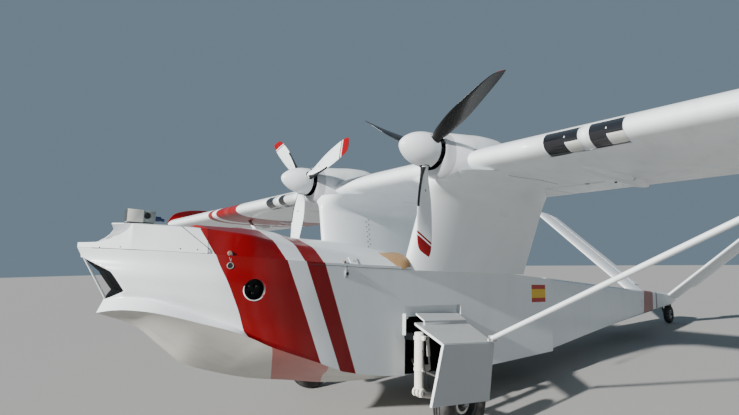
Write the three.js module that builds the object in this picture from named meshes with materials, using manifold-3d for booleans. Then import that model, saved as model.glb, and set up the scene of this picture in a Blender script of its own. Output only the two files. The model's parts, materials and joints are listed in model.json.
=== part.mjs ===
// Twin engine amphibious flying boat with a parasol wing on two leaning pylons, a V tail and
// three wheels. Millimetres, +X to port, +Y aft, +Z up. The airframe is drawn level with its
// zero height at the ground under the main wheels and is then pitched nose up, as it parks.
import * as THREE from 'three';
import { mergeVertices } from 'three/addons/utils/BufferGeometryUtils.js';
import Module from 'manifold-3d';

const wasm = await Module();
wasm.setup();

// Driving dimensions
const PITCH = 0.05;              // nose up angle at rest, radians
const GAP = 0.3;                 // seat between two pieces that touch
const RUN = 6;                   // running clearance of a moving piece
const SPAN = 14000;
const CHORD = 1900;
const WING_LE_Y = -20;           // leading edge
const WING_LE_Z = 2404;
const WING_SLOPE = -0.035;       // the chord line falls aft
const WING_THICK = 0.157;
const WING_CAMBER = 0.03;
const HINGE_Y = 1330;            // flap and aileron hinge line
const ENGINE_X = 992;
const THRUST_Z = 2476;
const NACELLE_INNER_X = 714;     // side faces of the wing slab that the nacelle carries
const NACELLE_OUTER_X = 1272;
const BLADE_Y = -330;            // middle of the propeller blades
const PROP_R = 954;
const SPINNER_R = 160;
const SPINNER_TIP_Y = -625;
const SPINNER_BACK_Y = -288;
const HULL_W = 700;              // half width of the hull
const JOINT_Y = 2370;            // joint between the main hull and the rear hull
const MAIN_R = 300;
const MAIN_W = 180;
const MAIN_X = 1130;
const TAIL_R = 200;
const TAIL_W = 130;
const TAIL_Y = 8900;

const PAINT = {
  white: { color: 0xe4e7ea, roughness: 0.35, metalness: 0 },
  red: { color: 0xb3161d, roughness: 0.35, metalness: 0 },
  grey: { color: 0x9aa0a6, roughness: 0.5, metalness: 0 },
  black: { color: 0x1a1b1d, roughness: 0.6, metalness: 0 },
  steel: { color: 0xb9bdc0, roughness: 0.35, metalness: 0.9 },
  alloy: { color: 0xc8cbcd, roughness: 0.4, metalness: 0.8 },
  tyre: { color: 0x1d1d1e, roughness: 0.9, metalness: 0 },
  tan: { color: 0xb08a5a, roughness: 0.6, metalness: 0 },
};

const airframe = new THREE.Group();
airframe.rotation.x = -PITCH;

// Helpers

const lerp = THREE.MathUtils.lerp;
const at = (x, y, z) => new THREE.Vector3(x, y, z);

// Value of a two column table at t, straight between its rows
function tableAt(rows, t) {
  if (t <= rows[0][0]) return rows[0][1];
  for (let i = 1; i < rows.length; i += 1) {
    const [t0, v0] = rows[i - 1];
    const [t1, v1] = rows[i];
    if (t <= t1) return lerp(v0, v1, (t - t0) / (t1 - t0));
  }
  return rows[rows.length - 1][1];
}

// A point of the pitched airframe from its place over the ground
function fromGround(y, z) {
  return [Math.cos(PITCH) * y - Math.sin(PITCH) * z, Math.sin(PITCH) * y + Math.cos(PITCH) * z];
}

function clean(geometry) {
  const bare = geometry.clone();
  bare.deleteAttribute('normal');
  bare.deleteAttribute('uv');
  const merged = mergeVertices(bare, 1e-3);
  const index = merged.index.array;
  const kept = [];
  for (let i = 0; i < index.length; i += 3) {
    const [a, b, c] = [index[i], index[i + 1], index[i + 2]];
    if (a !== b && b !== c && c !== a) kept.push(a, b, c);
  }
  merged.setIndex(kept);
  return merged;
}

function volumeOf(geometry) {
  const p = geometry.attributes.position;
  const index = geometry.index.array;
  const [a, b, c] = [at(0, 0, 0), at(0, 0, 0), at(0, 0, 0)];
  let sum = 0;
  for (let i = 0; i < index.length; i += 3) {
    a.fromBufferAttribute(p, index[i]);
    b.fromBufferAttribute(p, index[i + 1]);
    c.fromBufferAttribute(p, index[i + 2]);
    sum += a.dot(b.cross(c)) / 6;
  }
  return sum;
}

function flipped(geometry) {
  const index = geometry.index.array;
  const turned = [];
  for (let i = 0; i < index.length; i += 3) turned.push(index[i], index[i + 2], index[i + 1]);
  geometry.setIndex(turned);
  return geometry;
}

function solid(geometry) {
  let body = clean(geometry);
  if (volumeOf(body) < 0) body = flipped(body);
  return new wasm.Manifold(new wasm.Mesh({
    numProp: 3,
    vertProperties: new Float32Array(body.attributes.position.array),
    triVerts: new Uint32Array(body.index.array),
  }));
}

function geometryOf(manifold) {
  const mesh = manifold.getMesh();
  const geometry = new THREE.BufferGeometry();
  geometry.setAttribute('position', new THREE.BufferAttribute(new Float32Array(mesh.vertProperties), 3));
  geometry.setIndex(Array.from(mesh.triVerts));
  geometry.computeVertexNormals();
  return geometry;
}

function union(...parts) {
  return parts.reduce((sum, next) => sum.add(next));
}

// Closed skin through rings of equal count. A first ring that has shrunk to a line has no cap.
// A twin skin has the same creases on both sides of the middle plane.
function loft(rings, { openStart = false, twin = false } = {}) {
  const count = rings[0].length;
  const points = rings.flat();
  const index = [];
  for (let r = 0; r < rings.length - 1; r += 1) {
    for (let i = 0; i < count; i += 1) {
      const j = (i + 1) % count;
      const [a, b, c, d] = [r * count + i, r * count + j, (r + 1) * count + j, (r + 1) * count + i];
      if (twin && i >= count / 2) index.push(a, b, d, b, c, d);
      else index.push(a, b, c, a, c, d);
    }
  }
  const caps = openStart ? [rings.length - 1] : [0, rings.length - 1];
  for (const r of caps) {
    const middle = points.length;
    const centre = at(0, 0, 0);
    for (const p of rings[r]) centre.addScaledVector(p, 1 / count);
    points.push(centre);
    for (let i = 0; i < count; i += 1) {
      const [a, b] = [r * count + i, r * count + (i + 1) % count];
      if (r === 0) index.push(middle, b, a);
      else index.push(middle, a, b);
    }
  }
  const geometry = new THREE.BufferGeometry();
  geometry.setAttribute('position', new THREE.Float32BufferAttribute(points.flatMap((p) => p.toArray()), 3));
  geometry.setIndex(index);
  return solid(geometry);
}

function box(x0, x1, y0, y1, z0, z1) {
  const geometry = new THREE.BoxGeometry(x1 - x0, y1 - y0, z1 - z0);
  geometry.translate((x0 + x1) / 2, (y0 + y1) / 2, (z0 + z1) / 2);
  return solid(geometry);
}

// Round bar between two points
function bar(from, to, radius, sides = 16, endRadius = radius) {
  const along = to.clone().sub(from);
  const geometry = new THREE.CylinderGeometry(endRadius, radius, along.length(), sides);
  geometry.applyQuaternion(new THREE.Quaternion().setFromUnitVectors(at(0, 1, 0), along.clone().normalize()));
  geometry.translate(...from.clone().add(to).divideScalar(2).toArray());
  return solid(geometry);
}

// Solid of revolution about an axis along X or Y through a point; rows are [radius, place on axis]
function turned(rows, axis, origin, sides = 24) {
  const geometry = new THREE.LatheGeometry(rows.map(([r, s]) => new THREE.Vector2(r, s)), sides);
  if (axis === 'x') geometry.rotateZ(-Math.PI / 2);
  geometry.translate(...origin.toArray());
  return solid(geometry);
}

// Flat prism: an outline of [y, z] points pushed through from x0 to x1
function sidePrism(outline, x0, x1) {
  return loft([x0, x1].map((x) => outline.map(([y, z]) => at(x, y, z))));
}

// Plate whose two faces are given by the same number of corners
function plate(face, offset) {
  return loft([face, face.map((p) => p.clone().add(offset))]);
}

function mirrored(geometry) {
  const copy = geometry.clone();
  copy.scale(-1, 1, 1);
  return flipped(copy);
}

// Whole ring from its point on the middle plane and the points of its port half
function wholeRing(middle, half) {
  return [middle, ...half, ...half.map((p) => at(-p.x, p.y, p.z)).reverse()];
}

function moved(manifold, x, y, z) {
  return solid(geometryOf(manifold).translate(x, y, z));
}

// A piece cut back to its seat on a carrier, with the gap along each direction given
function seated(piece, carrier, directions) {
  return directions.reduce(
    (rest, [x, y, z]) => rest.subtract(moved(carrier, x * GAP, y * GAP, z * GAP)),
    piece.subtract(carrier),
  );
}
const largest = (manifold) => manifold.decompose().sort((a, b) => b.volume() - a.volume())[0];
const UP = [0, 0, 1];
const DOWN = [0, 0, -1];
const OUT = [1, 0, 0];
const IN = [-1, 0, 0];
const FORE = [0, -1, 0];
const AFT = [0, 1, 0];

function place(name, geometry, finish) {
  const mesh = new THREE.Mesh(geometry, new THREE.MeshStandardMaterial(PAINT[finish]));
  mesh.name = name;
  airframe.add(mesh);
}

function placeOne(name, manifold, finish) {
  place(name, geometryOf(manifold), finish);
}

// The port piece and its mirror image
function placePair(name, manifold, finish) {
  const geometry = geometryOf(manifold);
  place(`${name}_port`, geometry, finish);
  place(`${name}_starboard`, mirrored(geometry), finish);
}

// Section of a wing or fin: share of chord and height, from the trailing edge over the top
const SECTION_STEPS = 9;
const CAMBER_AT = 0.4;
const halfThickness = (thick, s) => 5 * thick
  * (0.2969 * Math.sqrt(s) - 0.126 * s - 0.3516 * s ** 2 + 0.2843 * s ** 3 - 0.1015 * s ** 4);
const meanHeight = (camber, s) => (s < CAMBER_AT
  ? (camber / CAMBER_AT ** 2) * (2 * CAMBER_AT * s - s * s)
  : (camber / (1 - CAMBER_AT) ** 2) * (1 - 2 * CAMBER_AT + 2 * CAMBER_AT * s - s * s));

function aerofoil(thick, camber, steps = SECTION_STEPS) {
  const upper = [];
  const lower = [];
  for (let i = 0; i <= steps; i += 1) {
    const s = 0.5 * (1 + Math.cos((Math.PI * i) / steps));
    const [half, mean] = [halfThickness(thick, s), meanHeight(camber, s)];
    upper.push([s, mean + half]);
    if (i < steps) lower.unshift([s, mean - half]);
  }
  return [...upper, ...lower];
}

// Hull

const BOW_END = -1200;           // aft of this the hull has its full width
const LAST_WIDENING = 500;       // length behind the bow in which the narrower rows reach that width
// Plans of the bow: half width against the distance behind the stem
const BOW_PLAN = [[0, 0], [280, 280], [560, 470], [860, 610], [1160, 680], [1460, HULL_W]];
const CHINE_PLAN = [[0, 0], [30, 90], [80, 180], [160, 275], [300, 380], [560, 490], [860, 610],
  [1160, 680], [1460, HULL_W]];
const LIP_PLAN = [[0, 0], [40, 90], [100, 165], [200, 240], [340, 330], [560, 440], [860, 585],
  [1160, 670], [1460, HULL_W]];
// Seam between the lower hull and the deck: place and height
const SEAM = [[-2760, 1505], [-2377, 1491], [-2096, 1481], [-1914, 1477], [-1210, 1451], [480, 1437],
  [1690, 1398], [JOINT_Y, 1361]];
// Rows of the hull skin from the chine up: place of the stem, plan of the bow, and height by place
const HULL_ROWS = [
  { stem: -2600, plan: CHINE_PLAN, z: [[-2600, 1056], [-2545, 1078], [-2475, 1086], [-2408, 1082],
    [-2337, 1073], [-2195, 1040], [-2034, 995], [-1850, 942], [-1700, 880], [-1594, 828], [-1372, 745],
    [-1170, 673], [-930, 582], [-370, 487], [545, 430], [JOINT_Y, 470]] },
  { stem: -2560, plan: LIP_PLAN, z: [[-2560, 1150], [-2489, 1170], [-2411, 1169], [-2329, 1162],
    [-2176, 1113], [-1963, 1027], [-1800, 960], [-1700, 905], [-1500, 825], [-1200, 705], [-930, 610],
    [-370, 530], [0, 500], [JOINT_Y, 520]] },
  { stem: -2670, plan: BOW_PLAN, z: [[-2670, 1215], [-2480, 1212], [-2200, 1170], [-1980, 1120],
    [-1600, 1030], [-1200, 930], [JOINT_Y, 800]] },
  { stem: -2760, plan: BOW_PLAN, z: [[-2760, 1345], [-2100, 1310], [-1200, 1200], [JOINT_Y, 1050]] },
  { stem: -2735, plan: BOW_PLAN, z: [[-2735, 1438], [-2100, 1400], [-1200, 1300], [JOINT_Y, 1180]] },
  { stem: -2760, plan: BOW_PLAN, z: SEAM },
];
const KEEL = [[-2595, 1052], [-2355, 960], [-2154, 795], [-1981, 654], [-1712, 556], [-1402, 473],
  [-1008, 408], [-679, 350], [-317, 314], [0, 300], [540, 290], [560, 345], [JOINT_Y, 390]];
const KEEL_STEM = KEEL[0][0];
const BOW_SHARES = [0, 0.02, 0.06, 0.12, 0.22, 0.36, 0.55, 0.78, 1];
const HULL_STATIONS = [-700, -100, 540, 560, JOINT_Y - GAP];

// Ring of the lower hull: at a share of the bow's length, or at a station behind the bow
function hullRing(share, station) {
  const placeFrom = (stem) => (share < 1 ? lerp(stem, BOW_END, share) : station);
  const half = HULL_ROWS.map((row) => {
    const y = placeFrom(row.stem);
    const w = tableAt(row.plan, y - row.stem);
    const full = y >= BOW_END ? lerp(w, HULL_W, Math.min(1, (y - BOW_END) / LAST_WIDENING)) : w;
    return at(full, y, tableAt(row.z, y));
  });
  const keelY = placeFrom(KEEL_STEM);
  return wholeRing(at(0, keelY, tableAt(KEEL, keelY)), half);
}

const lowerHull = loft([
  ...BOW_SHARES.map((share) => hullRing(share, BOW_END)),
  ...HULL_STATIONS.map((y) => hullRing(1, y)),
], { openStart: true, twin: true });

// Deck above the seam: place, seam width and height, edge width and height, hump width and height, crown
const HATCH_END = -2050;
const DECK = [
  [HATCH_END, 540, 1460, 520, 1657, 300, 1700, 1705],
  [-1710, 650, 1455, 600, 1623, 330, 1700, 1725],
  [-1560, 672, 1447, 600, 1596, 330, 1695, 1742],
  [-1430, 688, 1440, 600, 1584, 330, 1690, 1742],
  [-1340, 694, 1435, 600, 1578, 330, 1675, 1715],
  [-1280, 699, 1432, 600, 1573, 330, 1660, 1695],
  [-950, 699, 1426, 600, 1553, 330, 1650, 1687],
  [-680, 699, 1420, 605, 1537, 330, 1648, 1686],
  [-450, 699, 1420, 610, 1520, 330, 1628, 1664],
  [-100, 699, 1415, 610, 1494, 330, 1583, 1615],
  [400, 699, 1415, 620, 1462, 330, 1510, 1530],
  [700, 699, 1410, 630, 1448, 330, 1470, 1482],
  [1690, 699, 1375, 640, 1406, 330, 1412, 1414],
  [JOINT_Y - GAP, 699, 1340, 640, 1368, 330, 1374, 1376],
];

function deckRing([y, seamW, seamZ, edgeW, edgeZ, humpW, humpZ, crownZ]) {
  return wholeRing(at(0, y, crownZ), [at(humpW, y, humpZ), at(edgeW, y, edgeZ), at(seamW, y, seamZ)]);
}

const deck = loft(DECK.map(deckRing), { twin: true });

// Opening under the beak, right through from side to side
const MOUTH = [[-2950, 1437], [-2722, 1437], [-2573, 1343], [-2481, 1210], [-2556, 1150], [-2950, 1150]];
const mouth = sidePrism(MOUTH, -HULL_W, HULL_W);

// Bays beside the main wheels
const PAST_SIDE = 60;            // how far a cutting body reaches out of the hull's side
const BAY = { depth: 240, y0: -255, y1: 540, z0: 380, z1: 985 };
const BAY_WALL_X = HULL_W - BAY.depth;
const bayBetween = (x0, x1) => box(x0, x1, BAY.y0, BAY.y1, BAY.z0, BAY.z1);
const bays = union(bayBetween(BAY_WALL_X, HULL_W + PAST_SIDE), bayBetween(-HULL_W - PAST_SIDE, -BAY_WALL_X));

// Round service port, square to the port side of the bow, with three sockets on its floor
const PORT = { centre: at(646, -1731, 1237), out: at(0.978, -0.207, 0).normalize(), radius: 75, depth: 115 };
const PORT_SIDES = 24;
const PORT_PLATE = 12;
const SOCKET = { radius: 15, sides: 12, length: 46, places: [[-26, 20], [26, 20], [0, -30]] };
const portPoint = (out, along = 0, up = 0) => PORT.centre.clone().addScaledVector(PORT.out, out)
  .addScaledVector(at(-PORT.out.y, PORT.out.x, 0), along).add(at(0, 0, up));
const portHole = bar(portPoint(-PORT.depth), portPoint(PAST_SIDE), PORT.radius, PORT_SIDES);
const plateTop = PORT_PLATE - PORT.depth;
const portPlate = union(
  bar(portPoint(GAP - PORT.depth), portPoint(plateTop), PORT.radius - GAP, PORT_SIDES),
  ...SOCKET.places.map(([along, up]) => bar(
    portPoint(plateTop - PORT_PLATE / 2, along, up),
    portPoint(plateTop + SOCKET.length, along, up),
    SOCKET.radius,
    SOCKET.sides,
  )),
);

const hull = union(lowerHull, deck).subtract(mouth).subtract(bays).subtract(portHole);
placeOne('hull', hull, 'white');
placeOne('service_port_sockets', portPlate, 'black');

// Nose hatch: half width, place and height of its side edge, then place and height on the middle plane
const HATCH = [
  [4, -2752, 1538, -2752, 1538],
  [108, -2650, 1543, -2655, 1543],
  [215, -2550, 1593, -2545, 1572],
  [268, -2492, 1650, -2505, 1637],
  [283, -2480, 1669, -2556, 1684],
  [305, -2440, 1671, -2440, 1698],
  [425, -2250, 1664, -2250, 1703],
  [520, HATCH_END - GAP, 1657, HATCH_END - GAP, 1705],
];
const HATCH_SEAM = [[-2752, 6], [-2650, 109], [-2560, 198], [-2485, 270], [-2260, 425], [HATCH_END, 541]];
const HATCH_LIFT = 1.3;          // joint between the hatch and the hull
// The back is a shallow ridge: one more point between its edge and the middle
const RIDGE = { out: 0.55, back: 0.45, rise: 0.6 };
const hatch = loft(HATCH.map(([edgeX, edgeY, edgeZ, middleY, middleZ]) => wholeRing(at(0, middleY, middleZ), [
  at(edgeX * RIDGE.out, lerp(edgeY, middleY, RIDGE.back), lerp(edgeZ, middleZ, RIDGE.rise)),
  at(edgeX, edgeY, edgeZ),
  at(tableAt(HATCH_SEAM, edgeY), edgeY, tableAt(SEAM, edgeY) + HATCH_LIFT),
])), { twin: true });
placeOne('nose_hatch', hatch, 'white');

// Stem bar across the opening, from the beak to the lower lip
const STEM = { top: at(0, -2718, 1450), bottom: at(0, -2527, 1110), half: 9 };
const stemRing = (p) => [[-1, -1], [1, -1], [1, 1], [-1, 1]]
  .map(([i, j]) => at(i * STEM.half, p.y + j * STEM.half, p.z));
const stem = seated(loft([stemRing(STEM.bottom), stemRing(STEM.top)]), hull, [UP, DOWN]);
placeOne('stem_bar', largest(stem), 'white');

// Sensor box on the roof: housing, camera with its lens barrel, and base plate
const roofBox = union(
  box(-65, 65, -2474, -2361, 1720, 1800),
  box(-60, 60, -2366, -2275, 1722, 1797),
  bar(at(20, -2335, 1763), at(68, -2335, 1763), 24, 20),
  box(-50, 50, -2460, -2285, 1690, 1725),
);
placeOne('roof_sensor', seated(roofBox, hatch, [UP]), 'grey');

// Curved cover on the deck before the port pylon: points of its low edge, with those of its high edge
const COVER = [
  [[450, -390, 1562], [440, -381, 1568]],
  [[555, -418, 1540], [510, -340, 1573]],
  [[610, -402, 1508], [580, -275, 1577]],
  [[645, -380, 1484], [635, -246, 1560]],
  [[672, -350, 1455], [685, -231, 1525]],
  [[690, -331, 1431], [706, -219, 1487]],
  [[702, -305, 1414], [714, -205, 1446]],
];
const COVER_BACK = at(-8, 5, -8);
const coverRings = COVER.map(([low, high]) => {
  const face = [at(...low), at(...high)];
  return [...face, ...face.map((p) => p.clone().add(COVER_BACK)).reverse()];
});

// Rear hull: place, half width, top height, shoulder height, side foot height, keel height
const REAR = [
  [JOINT_Y, 700, 1375, 1360, 462, 390],
  [4600, 570, 1270, 1255, 655, 600],
  [6800, 440, 1172, 1158, 812, 775],
  [7800, 360, 1132, 1112, 875, 850],
  [8650, 225, 1082, 1060, 925, 915],
  [8860, 120, 1050, 1035, 955, 945],
];
const REAR_EDGE = { top: 0.92, foot: 0.86, rise: 40 };
const rearHull = loft(REAR.map(([y, w, top, shoulder, foot, keel]) => wholeRing(at(0, y, keel), [
  at(w * REAR_EDGE.foot, y, foot),
  at(w, y, foot + REAR_EDGE.rise),
  at(w, y, shoulder),
  at(w * REAR_EDGE.top, y, top),
])), { twin: true });

// Parasol wing

const WING_SECTION = aerofoil(WING_THICK, WING_CAMBER);

function wingRing(x, section = WING_SECTION) {
  return section.map(([s, h]) => at(x, WING_LE_Y + s * CHORD, WING_LE_Z + (WING_SLOPE * s + h) * CHORD));
}

// Height of the middle of the wing and half its thickness at a place along the chord
function wingMiddle(y) {
  const s = (y - WING_LE_Y) / CHORD;
  const top = tableAt(WING_SECTION.slice(0, SECTION_STEPS + 1).reverse(), s);
  const bottom = tableAt(WING_SECTION.slice(SECTION_STEPS), s);
  return [WING_LE_Z + (WING_SLOPE * s + (top + bottom) / 2) * CHORD, ((top - bottom) / 2) * CHORD];
}

const [HINGE_Z, HINGE_HALF] = wingMiddle(HINGE_Y);
const NOSE_R = HINGE_HALF - 3;              // round nose of the flap and the aileron
const SPAR_Y = HINGE_Y - NOSE_R - RUN;      // flat rear face of the fixed wing
const TIP_X = SPAN / 2;
const PANEL_TIP_X = 6790;
const PART_SPACE = 12;                      // between the flap, the aileron and their neighbours
const FLAP_END_X = 4180;
const FLAP_X = [NACELLE_OUTER_X + PART_SPACE, FLAP_END_X];
const AILERON_X = [FLAP_END_X + PART_SPACE, PANEL_TIP_X - PART_SPACE];
const wingFull = (x0, x1) => loft([wingRing(x0), wingRing(x1)]);
// All of the wing's space behind a place along the chord
const SPACE = { side: 50, aft: 3000, low: 1500, high: 3500 };
const behind = (x0, x1, y) => box(x0 - SPACE.side, x1 + SPACE.side, y, y + SPACE.aft, SPACE.low, SPACE.high);

placePair('wing', wingFull(NACELLE_OUTER_X + GAP, PANEL_TIP_X - GAP)
  .subtract(behind(NACELLE_OUTER_X, PANEL_TIP_X, SPAR_Y)), 'white');
placeOne('wing_centre', wingFull(-NACELLE_INNER_X + GAP, NACELLE_INNER_X - GAP), 'white');

// A hinged trailing piece: the wing section behind the hinge line, a round nose, and bearing collars
const COLLAR = { half: 20, inset: 400, radius: NOSE_R + RUN - GAP - 0.2 };
function trailing([x0, x1]) {
  const tail = wingFull(x0, x1).intersect(behind(x0, x1, HINGE_Y));
  const axle = (a, b, r) => bar(at(a, HINGE_Y, HINGE_Z), at(b, HINGE_Y, HINGE_Z), r, 16);
  const collars = [x0 + COLLAR.inset, x1 - COLLAR.inset]
    .map((x) => axle(x - COLLAR.half, x + COLLAR.half, COLLAR.radius));
  return union(tail, axle(x0, x1, NOSE_R), ...collars);
}

placePair('flap', trailing(FLAP_X), 'white');
placePair('aileron', trailing(AILERON_X), 'white');

// Wing end with its low upright plate
const FENCE = [[-45, 2400], [20, 2540], [155, 2667], [493, 2758], [963, 2782], [1500, 2745], [1900, 2560],
  [1930, 2380], [1800, 2330], [900, 2300], [200, 2310]];
const FENCE_THICK = 28;
const fence = sidePrism(FENCE, TIP_X - FENCE_THICK, TIP_X);
placePair('wing_tip', union(wingFull(PANEL_TIP_X, TIP_X - FENCE_THICK / 2), fence), 'red');

// Engine nacelles

// Nacelle form: place, half width, bottom height, top height
const NACELLE = [
  [-238, 176, 2305, 2646],
  [-180, 190, 2250, 2655],
  [-60, 232, 2222, 2676],
  [120, 262, 2235, 2708],
  [320, 272, 2262, 2745],
  [520, 268, 2300, 2760],
  [780, 230, 2340, 2700],
  [1100, 130, 2390, 2580],
];
const NACELLE_ROUND = 0.85;      // under 1 the rings are fuller than an ellipse
function roundRing([y, w, bottom, top], inset = 0, sides = 20) {
  const ring = [];
  const power = (v) => Math.sign(v) * Math.abs(v) ** NACELLE_ROUND;
  for (let i = 0; i < sides; i += 1) {
    const a = (2 * Math.PI * i) / sides;
    ring.push(at(
      ENGINE_X + (w - inset) * power(Math.cos(a)),
      y,
      (top + bottom) / 2 + ((top - bottom) / 2 - inset) * power(Math.sin(a)),
    ));
  }
  return ring;
}
const COWL = { wall: 22, mouthR: 150, mouthY: -100, roomY: -140, roomRows: [1, 6] };
const nacelleForm = loft(NACELLE.map((row) => roundRing(row)));
const cowlMouth = bar(at(ENGINE_X, NACELLE[0][0] - RUN, THRUST_Z), at(ENGINE_X, COWL.mouthY, THRUST_Z),
  COWL.mouthR, 24);
const roomRows = NACELLE.slice(...COWL.roomRows)
  .map(([y, ...form]) => roundRing([Math.max(y, COWL.roomY), ...form], COWL.wall));
const nacelle = union(nacelleForm, wingFull(NACELLE_INNER_X, NACELLE_OUTER_X))
  .subtract(loft(roomRows)).subtract(cowlMouth);
placePair('nacelle', nacelle, 'white');

// Engine: crankcase, shaft to the propeller, and a foot on the nacelle's floor
const ENGINE = { half: 150, under: 120, over: 125, y0: -60, y1: 470, shaftR: 38 };
const ENGINE_FOOT = { half: 50, y0: 100, y1: 210, z: 2252 };
const engine = union(
  box(ENGINE_X - ENGINE.half, ENGINE_X + ENGINE.half, ENGINE.y0, ENGINE.y1, THRUST_Z - ENGINE.under,
    THRUST_Z + ENGINE.over),
  bar(at(ENGINE_X, 0, THRUST_Z), at(ENGINE_X, SPINNER_BACK_Y + GAP, THRUST_Z), ENGINE.shaftR, 20),
  box(ENGINE_X - ENGINE_FOOT.half, ENGINE_X + ENGINE_FOOT.half, ENGINE_FOOT.y0, ENGINE_FOOT.y1,
    ENGINE_FOOT.z, THRUST_Z),
);
placePair('engine', largest(seated(engine, nacelle, [UP])), 'alloy');

// Propellers: radius, chord, thickness, twist from the middle of the blade in degrees
const BLADE = [
  [60, 84, 78, 14],
  [150, 92, 70, 14],
  [260, 150, 34, 10],
  [480, 200, 22, 2],
  [740, 178, 15, -8],
  [900, 140, 10, -13],
  [PROP_R, 96, 7, -15],
];
const BLADE_SECTION = [[0.5, 0], [0.2, 0.42], [-0.2, 0.5], [-0.45, 0.28], [-0.5, 0], [-0.45, -0.28],
  [-0.2, -0.5], [0.2, -0.42]];

function blade(angle, pitchAngle) {
  const out = at(Math.cos(angle), 0, Math.sin(angle));
  const turn = at(Math.sin(angle), 0, -Math.cos(angle));
  return loft(BLADE.map(([radius, chord, thick, twist]) => {
    const beta = pitchAngle + THREE.MathUtils.degToRad(twist);
    const lead = turn.clone().multiplyScalar(Math.cos(beta)).add(at(0, -Math.sin(beta), 0));
    const front = at(0, -Math.cos(beta), 0).addScaledVector(turn, -Math.sin(beta));
    return BLADE_SECTION.map(([c, t]) => out.clone().multiplyScalar(radius)
      .addScaledVector(lead, -c * chord).addScaledVector(front, t * thick));
  }));
}

// Side, its sign, angle of the first blade and blade pitch, both in radians
const PROPS = [
  { side: 'port', sign: 1, first: 0.534, pitch: THREE.MathUtils.degToRad(94) },
  { side: 'starboard', sign: -1, first: 0.326, pitch: THREE.MathUtils.degToRad(8) },
];
// Spinner skin, outside then inside: radius and place
const SPINNER_IN_R = SPINNER_R - 8;
const SPINNER_EDGE_Y = SPINNER_BACK_Y + 4;
const SPINNER = [[0, SPINNER_TIP_Y], [52, -607], [98, -560], [134, -485], [153, -395], [SPINNER_R, -300],
  [SPINNER_R, SPINNER_EDGE_Y], [SPINNER_IN_R, SPINNER_EDGE_Y], [SPINNER_IN_R, -300], [126, -475], [0, -593]];
const SPINNER_SIDES = 24;
const HUB = { radius: 70, front: -390, plate: 10 };
const ROOT_HOLE = { radius: 52, reach: 260 };

for (const { side, sign, first, pitch } of PROPS) {
  const angles = [0, 1, 2].map((i) => first + (i * 2 * Math.PI) / 3);
  const discRows = (r, front) => [[0, front], [r, front], [r, SPINNER_BACK_Y], [0, SPINNER_BACK_Y]];
  const hub = union(
    turned(discRows(HUB.radius, HUB.front), 'y', at(0, 0, 0)),
    turned(discRows(SPINNER_IN_R - GAP, SPINNER_BACK_Y - HUB.plate), 'y', at(0, 0, 0), SPINNER_SIDES),
  );
  const blades = angles.map((angle) => moved(blade(angle, pitch), 0, BLADE_Y, 0));
  const holes = angles.map((angle) => bar(
    at(0, BLADE_Y, 0),
    at(Math.cos(angle) * ROOT_HOLE.reach, BLADE_Y, Math.sin(angle) * ROOT_HOLE.reach),
    ROOT_HOLE.radius,
    16,
  ));
  const shell = turned(SPINNER, 'y', at(0, 0, 0), SPINNER_SIDES);
  const cut = holes.reduce((body, hole) => body.subtract(hole), shell);
  const shift = at(sign * ENGINE_X, 0, THRUST_Z);
  place(`propeller_${side}`, geometryOf(union(hub, ...blades)).translate(...shift.toArray()), 'white');
  place(`spinner_${side}`, geometryOf(cut).translate(...shift.toArray()), 'white');
}

// Pylons between the hull deck and the nacelles: corners of the foot and of the head
const PYLON = {
  frontLow: at(640, -225, 1400),
  backLow: at(672, 1760, 1400),
  frontHigh: at(925, -152, 2420),
  backHigh: at(940, 1900, 2420),
};
const PYLON_SECTION = aerofoil(0.13, 0, 7);
const pylonRing = (front, back) => PYLON_SECTION.map(([s, h]) => {
  const chord = back.y - front.y;
  return at(lerp(front.x, back.x, s) + h * chord, lerp(front.y, back.y, s), front.z);
});
const pylon = loft([pylonRing(PYLON.frontLow, PYLON.backLow), pylonRing(PYLON.frontHigh, PYLON.backHigh)]);
const slabAndForm = union(nacelleForm, wingFull(NACELLE_INNER_X - 300, NACELLE_OUTER_X));
const overHead = box(400, 1400, -600, 2400, PYLON.frontHigh.z, 2700);
const hungPylon = seated(pylon.subtract(overHead), slabAndForm, [DOWN, OUT, IN, FORE, AFT]);
const pylonBody = seated(hungPylon, hull, [UP, OUT]);
placePair('pylon', pylonBody, 'white');

// Wing struts from the outriggers to the wing underside
const STRUT = { low: at(1236, 262, 812), high: at(4186, 507, 2353), chord: 75, thick: 50 };
const strutRing = (p) => {
  const ring = [];
  for (let i = 0; i < 12; i += 1) {
    const a = (2 * Math.PI * i) / 12;
    ring.push(at(p.x, p.y + (STRUT.chord / 2) * Math.cos(a), p.z + (STRUT.thick / 2) * Math.sin(a)));
  }
  return ring;
};

// Outriggers: folded plates that shield the main wheels
const RIG_IN_X = HULL_W + GAP;
const RIG_OUT_X = 1250;
const RIG_THICK = 24;
const RIG = {
  in0: at(RIG_IN_X, -140, 938),
  in1: at(RIG_IN_X, 600, 924),
  out1: at(RIG_OUT_X, 320, 782),
  out0: at(RIG_OUT_X, -365, 822),
  low1: at(RIG_OUT_X, 237, 300),
  low0: at(RIG_OUT_X, -507, 358),
};
const LEDGE = [at(RIG_IN_X, -118, 1020), at(RIG_IN_X, 493, 1000), at(800, 511, 940), at(800, -107, 960)];
const LEDGE_THICK = 16;
const outrigger = union(
  plate([RIG.in0, RIG.in1, RIG.out1, RIG.out0], at(0, 0, -RIG_THICK)),
  plate([RIG.out0, RIG.out1, RIG.low1, RIG.low0], at(-RIG_THICK, 0, 0)),
  plate(LEDGE, at(0, 0, -LEDGE_THICK)),
  box(776, 799, -100, 500, 890, 942),
);
placePair('outrigger', outrigger, 'white');
const strut = loft([strutRing(STRUT.low), strutRing(STRUT.high)]);
const strutBody = seated(seated(strut, wingFull(NACELLE_OUTER_X, PANEL_TIP_X), [DOWN]), outrigger, [UP, OUT]);
placePair('wing_strut', largest(strutBody), 'white');

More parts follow.
